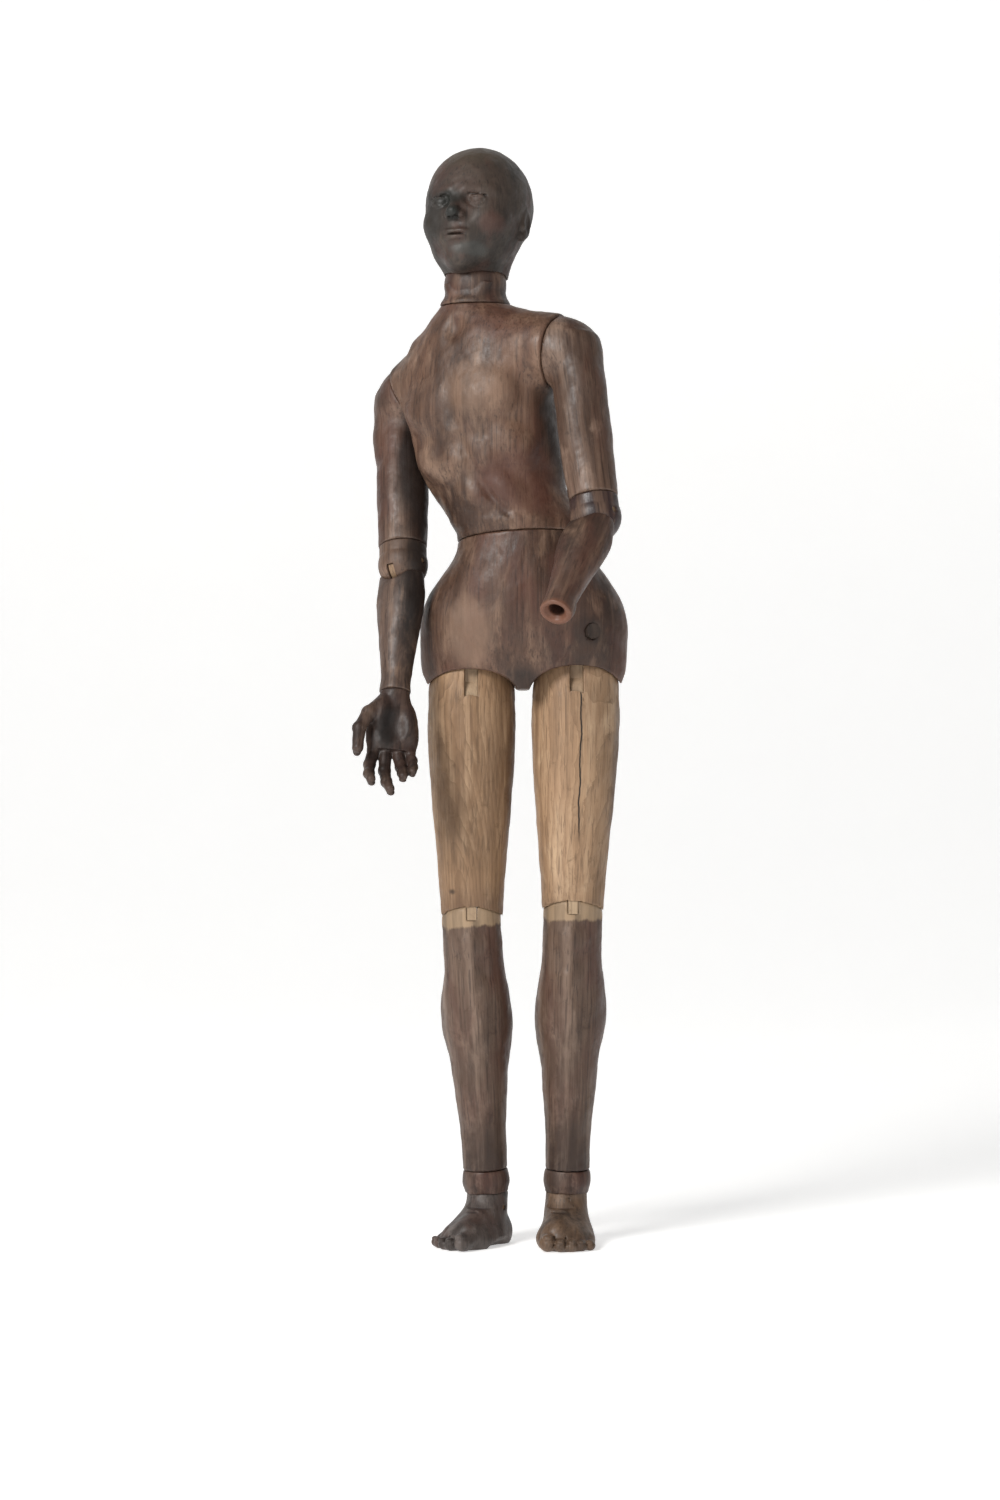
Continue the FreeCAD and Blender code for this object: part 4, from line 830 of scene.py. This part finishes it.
for side in SIDES:
    outer = -1 if side == "right" else 1

    def upper_arm_field(p, side=side, outer=outer):
        """In the elbow knuckle's frame: z up the arm."""
        long = arm_long[side]
        world = arm[side].outward(p)
        s = shoulder[side].inward(world)
        body = column(p, [(COLLAR_HIGH, 19.4, 19.6), (COLLAR_HIGH + 0.15 * long, 20, 20.3),
                          (COLLAR_HIGH + 0.38 * long, 20.8, 21), (0.62 * long, 20.0, 21.4),
                          (0.85 * long, 19.2, 21.2), (1.04 * long, 17.2, 18.4)])
        body = np.maximum(body, p[:, 2] - long * 1.04)
        body = blend(body, egg(p, (0, -7, 0.50 * long), (13, 14.5, 36)), 5)
        body = blend(body, egg(p, (outer * 2, 8, 0.58 * long), (14, 13, 38)), 5)
        cap = np.maximum(egg(s, (0, 0, 0), (28.2, 28.2, 37)), -s[:, 2])
        d = blend(body, cap, 9)
        d = blend(d, egg(p, (outer * 9, -2, 0.80 * long), (13.5, 17.5, 30)), 6)
        d = d + 0.3 * waves(p, 28, 1.6 + outer) + 0.1 * waves(p, 9, 2.5)
        if side == "right":
            # The cap meets the torso's rim, so no flat face shows past it.
            over = np.maximum(28.4 + 0.7 * s[:, 2] - np.hypot(s[:, 0], s[:, 1]), s[:, 2] - 16)
            d = hollow(d, np.maximum(over * 0.8, shoulder[side].origin[2] - 12 - world[:, 2]), 3)
        d = hollow(d, s[:, 2] - FACE_GAP, 1.4)
        k = p[:, 2] - COLLAR_HIGH - FACE_GAP
        d = hollow(d, k, 1.2)
        return hollow(d, tube(p, 6 + RUN_GAP, 0, COLLAR_HIGH + 26.5), 0.3)

    carve(f"carved_{side}_upper_arm", arm[side], (-48, -48, 12), (48, 48, 192), 1.15, upper_arm_field,
          f"{side}_upper_arm", M[side + "_arm"])

    def knuckle_field(p, side=side):
        h = elbow_hinge[side].inward(knuckle[side].outward(p))
        ball = egg(p, (0, 0, 0), (20, 20, 20))
        ball = np.maximum(ball, p[:, 2] - 9)
        d = blend(ball, tube(p, 19, 0, COLLAR_HIGH), 0.8)
        d = np.maximum(d, np.maximum(ball, tube(p, 21, -30, 9)))
        d = np.minimum(d, tube(p, 19, 0, COLLAR_HIGH))
        d = hollow(d, COLLAR_HIGH - p[:, 2], 0.8)
        straight_at = 35.4 if side == "left" else 0.0
        rooms = slot_room(h, 5.6, 12, *ELBOW_EDGES, 6, 45, [straight_at - a for a in (-2, 14, 30, 46, 62)])
        low, high = ELBOW_FAN[side]
        reach = ELBOW_TRAVEL[side]
        rooms = np.minimum(rooms, fan(h, 3.1, ELBOW_FAN_R + 0.3, low - reach[0] - 1, high + reach[1] + 1))
        d = hollow(d, rooms, 0.7)
        return hollow(d, rod_x(h, 2.45, 30), 0.3)

    carve(f"carved_{side}_elbow_knuckle", knuckle[side], (-22, -22, -22), (22, 22, 17), 0.7, knuckle_field,
          f"{side}_elbow_knuckle", M[side + "_ball"])

    def forearm_field(p, side=side, outer=outer):
        long = np.linalg.norm(forearm[side].origin - wrist[side].origin)
        d = column(p, [(0, 18.3, 14.6), (-0.1 * long, 19.0, 15.0), (-0.25 * long, 19.6, 17.4),
                       (-0.5 * long, 17.2, 15.9), (-0.75 * long, 13.6, 13.0), (-0.9 * long, 12.0, 11.7),
                       (-long, 12.5, 12.3)])
        d = blend(d, egg(p, (outer * 6, 3, -0.30 * long), (13.5, 13, 30)), 5)
        d = blend(d, egg(p, (-outer * 6, -3, -0.30 * long), (12.5, 13, 27)), 5)
        d = blend(d, egg(p, (outer * 6.5, 4, -0.93 * long), (5, 7.5, 8)), 4)
        d = d + 0.25 * waves(p, 24, 2.6 + outer) + 0.1 * waves(p, 9, 1.5)
        d = np.maximum(d, p[:, 2])
        w = wrist[side].inward(forearm[side].outward(p))
        d = hollow(d, w[:, 2], 1.2)
        d = hollow(d, egg(p, (0, 0, 0), (20 + BALL_GAP,) * 3), 1.0)
        h = elbow_hinge[side].inward(forearm[side].outward(p))
        # The rim is scooped out at the bend, so the ball shows.
        d = hollow(d, egg(h, (0, 17, 1), (16, 12, 17)), 2.0)
        d = hollow(d, slab(h, (-2.8, -ELBOW_EDGES[0], 0), (2.8, ELBOW_EDGES[1], 36)), 0.3)
        if side == "left":
            d = hollow(d, egg(w, (0, 0, -1), (9.2, 8.6, 6.0)), 1.0)
        return hollow(d, tube(w, 6 + RUN_GAP, -5, 24.5), 0.7)

    carve(f"carved_{side}_forearm", forearm[side], (-25, -25, -115), (25, 25, 1), 0.95, forearm_field,
          f"{side}_forearm", M[side + "_forearm"])


# ---------------------------------------------------------------- hand

hand = Frame(wrist["right"].origin, wrist["right"].axes[:, 2], turned(X, 8.0))

# Knuckle, two joints and tip of each finger, and the radius at its root.
FINGERS = {
    "index": (((-13.5, 1, -48), (-16.5, -2, -63), (-17, -8.5, -73), (-15.5, -15, -80)), 4.9),
    "middle": (((-4.5, 1, -51), (-4.5, -2, -67), (-3, -9, -79), (-0.5, -16, -87)), 5.0),
    "ring": (((5.0, 1, -50), (8, -3, -63), (9, -11, -71), (9, -17.5, -76)), 4.8),
    "little": (((13.5, 1, -46), (16.5, -3, -57), (17, -10, -65), (16.5, -16, -71)), 4.2),
}
THUMB = (((-9, -3, -10), (-20, -8, -22), (-27, -12, -37), (-27.5, -15, -55)), 6.0)


def finger_field(p, points, radius):
    """Three bones, a little thicker at the joints, and a nail on the back of the tip."""
    a, b, c, d = (np.array(v, float) for v in points)
    made = chain(p, (a, b, c, d), (radius, radius * 0.92, radius * 0.84, radius * 0.74), 1.2)
    for joint, size in ((b, 0.97), (c, 0.89)):
        made = blend(made, egg(p, joint, (radius * size,) * 3), 1.5)
    last = unit(d - c)
    back = unit(np.cross(last, np.cross(np.array([0, 1, 0.25]), last)))
    nail = Frame(d + back * radius * 0.66 - last * radius * 0.1, back, last)
    q = nail.inward(p)
    rim = egg(q, (0, 0, 0), (radius * 0.95, radius * 0.62, radius * 0.34))
    return blend(made, rim, 0.5)


def hand_field(p):
    d = column(p, [(2, 12, 11.8), (-6, 12.6, 11.2), (-14, 16.5, 9.8), (-30, 20.4, 8.6), (-42, 20.6, 7.8),
                   (-50, 18.6, 6.4)])
    d = np.maximum(d, -50 - p[:, 2])
    d = blend(d, egg(p, (-9.5, -5.5, -21), (7.5, 7.5, 14)), 4)
    d = blend(d, egg(p, (11, -4.5, -28), (6.5, 6.5, 15)), 4)
    d = hollow(d, egg(p, (0, -16, -34), (9, 9.5, 13)), 6)
    for points, radius in FINGERS.values():
        d = blend(d, finger_field(p, points, radius), 2.4)
    d = blend(d, finger_field(p, *THUMB), 3.0)
    d = d + 0.12 * waves(p, 10, 0.3)
    d = hollow(d, -(p[:, 2] + FACE_GAP), 1.0)
    return hollow(d, tube(p, 6, -22, 5), 0.3)


carve("carved_right_hand", hand, (-36, -26, -94), (25, 15, 1), 0.6, hand_field, "right_hand",
      M["hand"])


# ---------------------------------------------------------------- legs

for side in SIDES:
    outer = -1 if side == "right" else 1
    thigh_long = np.linalg.norm(hip[side].origin - knee[side].origin)
    shin_long = np.linalg.norm(knee[side].origin - ankle_swivel[side].origin)

    def thigh_field(p, side=side, outer=outer, long=thigh_long):
        d = column(p, [(part * -long, 35.2 * wide, 35.2 * deep) for part, wide, deep in (
            (-0.25, 0.86, 0.85), (-0.14, 0.94, 0.93), (0.0, 1.0, 1.0), (0.22, 0.98, 0.98), (0.45, 0.90, 0.90),
            (0.67, 0.80, 0.79), (0.88, 0.72, 0.70), (1.0, 0.70, 0.665))])
        d = blend(d, egg(p, (-outer * 8, -8, -0.80 * long), (14.5, 16, 24)), 6)
        d = d + 0.3 * waves(p, 40, 3.3 + outer) + 0.12 * waves(p, 13, 0.6)
        dome = egg(p, (0, 0, 0), (37, 44, 44))
        d = np.maximum(d, np.where(p[:, 2] > 0, dome, -60))
        world = thigh[side].outward(p)
        h, k = hip[side].inward(world), knee[side].inward(world)
        d = hollow(d, slot_room(h, 10, 33, 27, 27, 0, 90, (24, 10, -4, -14)), 0.8)
        d = hollow(d, rod_x(h, 4, 50), 0.5)
        d = np.maximum(d, -long - 2 - p[:, 2])
        d = hollow(d, egg(k, (0, 0, 0), (25.3 + BALL_GAP, 30 + BALL_GAP, 30 + BALL_GAP)), 1.0)
        return hollow(d, slab(k, (-3.75, -23.4, 0), (3.75, 14, 52)), 0.3)

    carve(f"carved_{side}_thigh", thigh[side], (-39, -39, -188), (39, 39, 46), 1.15, thigh_field,
          f"{side}_thigh", M["thigh" if side == "right" else "thigh_left"])

    def shin_field(p, side=side, outer=outer, long=shin_long):
        d = column(p, [(part * -long, 28 * wide, 30 * deep, 0, back) for part, wide, deep, back in (
            (-0.16, 0.84, 0.81, 0), (0.0, 0.85, 0.81, 0), (0.15, 0.86, 0.84, 1.5), (0.31, 0.97, 0.94, 4.5),
            (0.40, 0.98, 0.95, 5.5), (0.52, 0.85, 0.88, 4), (0.68, 0.76, 0.80, 2), (0.84, 0.66, 0.67, 0.5),
            (1.0, 0.64, 0.65, 0))])
        d = blend(d, egg(p, (0, -17.5, -13), (12, 8.5, 13)), 5)
        d = blend(d, egg(p, (0, -18.5, -36), (6, 6.5, 14)), 5)
        d = blend(d, bone(p, (-outer * 3, -19, -44), (-outer * 1, -11.5, -0.93 * long), 4.6, 5.2), 8)
        d = blend(d, egg(p, (outer * 10, 14, -0.36 * long), (17, 17, 44)), 8)
        d = blend(d, egg(p, (-outer * 10, 14, -0.40 * long), (16.5, 17.5, 46)), 8)
        d = hollow(d, bone(p, (0, 36, -0.25 * long), (0, 35, -0.52 * long), 2, 1), 12)
        d = d + 0.3 * waves(p, 36, 5.3 + outer) + 0.12 * waves(p, 12, 1.6)
        dome = egg(p, (0, 0, 0), (25.3, 30, 30))
        d = np.maximum(d, np.where(p[:, 2] > 0, dome, -60))
        world = shin[side].outward(p)
        h, a = knee[side].inward(world), ankle_swivel[side].inward(world)
        rooms = slot_room(h, 7.5, 20, 23.4, 14, 8, 70, (0, -22, -42, -62), mouth=40)
        d = hollow(d, rooms, 0.7)
        d = hollow(d, rod_x(h, 3.2, 40), 0.4)
        d = hollow(d, a[:, 2], 1.2)
        return hollow(d, tube(a, 6 + RUN_GAP, -5, 26.5), 0.3)

    carve(f"carved_{side}_shin", shin[side], (-33, -34, -198), (33, 40, 33), 1.15, shin_field,
          f"{side}_shin", M["shin"])

    def ankle_field(p, side=side, outer=outer):
        """The knuckle, with the ankle bones on its sides."""
        h = ankle[side].inward(ankle_swivel[side].outward(p))
        d = column(p, [(-32, 17.4, 17.4), (-17, 17.6, 17.6), (-11, 19.0, 19.0), (-5, 18.8, 18.8), (2, 17.6, 17.6)])
        d = d + 0.2 * waves(p, 18, 3.9 + outer)
        d = hollow(d, -(p[:, 2] + FACE_GAP), 1.2)
        d = np.maximum(d, 10.5 - h[:, 2])
        d = hollow(d, egg(h, (0, 0, 0), (20 + BALL_GAP,) * 3), 0.8)
        return hollow(d, slab(h, (-2.8, -ANKLE_EDGES[0], 0), (2.8, ANKLE_EDGES[1], 26)), 0.3)

    carve(f"carved_{side}_ankle_knuckle", ankle_swivel[side], (-21, -21, -24), (21, 21, 1), 0.8, ankle_field,
          f"{side}_ankle_knuckle", M["ankle"])

    def foot_field(p, side=side, inner=-outer):
        """In the foot's frame: -y forward, the big toe on the inner side."""
        q = p * (inner, 1, 1)
        long = 78.0
        d = column(p, [(-2, 21.5, 34.0, 0, -17), (3, 23.2, 35.6, 0, -17), (11, 22.0, 33.2, 0, -15),
                       (20, 18.6, 26.0, 0, -9), (30, 16.8, 18.0, 0, -2), (44, 16.4, 16.8, 0, 0)])
        d = blend(d, egg(q, (3, -28, 9), (20, 18, 11.5)), 6)
        d = blend(d, egg(q, (0, 9, 10), (14.5, 13.5, 14)), 6)
        d = hollow(d, egg(q, (21, -8, -2), (9, 17, 7)), 5)
        d = blend(d, bone(q, (3, -3, 33), (8, -36, 14), 10, 8), 9)
        toes = ((14.0, -38, -49, 7.0), (4.2, -40, -51.5, 5.2), (-4.4, -38.5, -49.5, 4.9), (-12.4, -35, -46, 4.6),
                (-19.2, -30, -41, 4.3))
        for across, root, tip, radius in toes:
            toe = bone(q, (across, root, radius + 3.2), (across, tip + 3, radius * 0.95), radius * 0.92, radius * 0.96)
            toe = blend(toe, egg(q, (across, tip, radius * 0.9), (radius, radius * 1.15, radius * 0.92)), 1.5)
            nail = egg(q, (across, tip - radius * 0.45, radius * 1.62), (radius * 0.62, radius * 0.78, radius * 0.42))
            toe = blend(toe, nail, 0.5)
            d = blend(d, toe, 1.6)
        for across in (9.3, 0.0, -8.4, -15.9):
            d = hollow(d, bone(q, (across, -40, 16), (across, -58, 3), 0.5, 0.5), 1.6)
        d = d + 0.2 * waves(p, 18, 2.9 + inner)
        h = ankle[side].inward(foot[side].outward(p))
        dome = egg(h, (0, 0, 0), (20, 20, 20))
        d = np.maximum(d, np.where(h[:, 2] > 0, dome, -60))
        d = np.maximum(d, p[:, 2] - 44)
        d = np.maximum(d, -p[:, 2])
        rooms = slot_room(h, 5.6, 12, *ANKLE_EDGES, 9, 40, (-17, 0, 17))
        spread = ANKLE_FAN + ANKLE_TRAVEL + 1
        rooms = np.minimum(rooms, fan(h, 3.1, ANKLE_FAN_R + 0.3, -spread, spread))
        d = hollow(d, rooms, 0.6)
        return hollow(d, rod_x(h, 2.2, 30), 0.4)

    carve(f"carved_{side}_foot", foot[side], (-32, -62, -2), (32, 26, 46), 0.75, foot_field, f"{side}_foot",
          M["foot_dark"] if side == "right" else M["foot_light"])


# ---------------------------------------------------------------- small CAD pieces

def finish_for(node):
    if node.endswith("_tongue"):
        return M["tongue"]
    if node == "pelvis_plug":
        return M["plug"]
    return M["dowel"]


replaced = {n for o in bpy.data.objects for n in o.get("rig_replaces", [])}
for node, part in frame["nodes"].items():
    if node not in replaced:
        part.data.materials.clear()
        part.data.materials.append(finish_for(node))


# ---------------------------------------------------------------- stage, light and camera

def make_sweep():
    """A pale floor that curves up into a wall behind the figure."""
    wide, near, bend, high, radius = 7.0, -6.0, 2.0, 6.0, 1.5
    outline = [(near, 0.0)]
    for k in range(25):
        turn = math.radians(90 * k / 24)
        outline.append((bend + radius * math.sin(turn), radius * (1 - math.cos(turn))))
    outline.append((bend + radius, high))
    points = [(x, y, z) for y, z in outline for x in (-wide, wide)]
    faces = [(2 * k, 2 * k + 1, 2 * k + 3, 2 * k + 2) for k in range(len(outline) - 1)]
    mesh = bpy.data.meshes.new("floor")
    mesh.from_pydata(points, [], faces)
    mesh.shade_smooth()
    made = bpy.data.objects.new("floor", mesh)
    bpy.context.scene.collection.objects.link(made)
    s = Shader("floor_paint")
    tone = s.noise(s.add("TexCoord").outputs["Object"], 5.0, 3.0)
    paint = s.mix(tone, rgb(0.90, 0.90, 0.895), rgb(0.93, 0.93, 0.925))
    shader = s.add("BsdfPrincipled", Base_Color=paint, Roughness=0.75, Specular_IOR_Level=0.2,
                   Emission_Color=rgb(1, 1, 1), Emission_Strength=0.46)
    s.tree.links.new(shader.outputs[0], s.add("OutputMaterial").inputs[0])
    mesh.materials.append(s.material)
    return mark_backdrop(made)


make_sweep()
bpy.context.scene.view_settings.view_transform = "Standard"

world = bpy.data.worlds.new("studio")
bpy.context.scene.world = world
world.use_nodes = True
tree = world.node_tree
tree.nodes.clear()
seen = tree.nodes.new("ShaderNodeBackground")
seen.inputs[0].default_value = (1, 1, 1, 1)
seen.inputs[1].default_value = 1.0
lit = tree.nodes.new("ShaderNodeBackground")
lit.inputs[0].default_value = (1, 0.99, 0.975, 1)
lit.inputs[1].default_value = 0.16
path = tree.nodes.new("ShaderNodeLightPath")
either = tree.nodes.new("ShaderNodeMixShader")
end = tree.nodes.new("ShaderNodeOutputWorld")
tree.links.new(path.outputs["Is Camera Ray"], either.inputs[0])
tree.links.new(lit.outputs[0], either.inputs[1])
tree.links.new(seen.outputs[0], either.inputs[2])
tree.links.new(either.outputs[0], end.inputs[0])


def lamp(name, spot, aim, size, power, colour=(1, 1, 1)):
    data = bpy.data.lights.new(name, "AREA")
    data.shape = "DISK"
    data.size, data.energy, data.color = size, power, colour
    made = bpy.data.objects.new(name, data)
    bpy.context.scene.collection.objects.link(made)
    made.location = spot
    made.rotation_euler = (Vector(aim) - Vector(spot)).to_track_quat("-Z", "Y").to_euler()
    return made


middle = (0.0, 0.0, 0.45)
lamp("key", (-1.5, -1.9, 1.8), middle, 1.1, 74, (1, 0.985, 0.965))
lamp("fill", (1.6, -2.0, 0.8), middle, 1.4, 5, (0.97, 0.99, 1))

# The camera stands level, halfway up the figure, far enough to flatten it.
camera_data = bpy.data.cameras.new("camera")
camera = bpy.data.objects.new("camera", camera_data)
bpy.context.scene.collection.objects.link(camera)
camera.location = (0.0052, -2.6604, 0.3968)
camera.rotation_euler = (math.radians(90), 0, 0)
camera_data.sensor_fit = "VERTICAL"
camera_data.angle = 2 * math.atan(600 / 2700)
bpy.context.scene.camera = camera
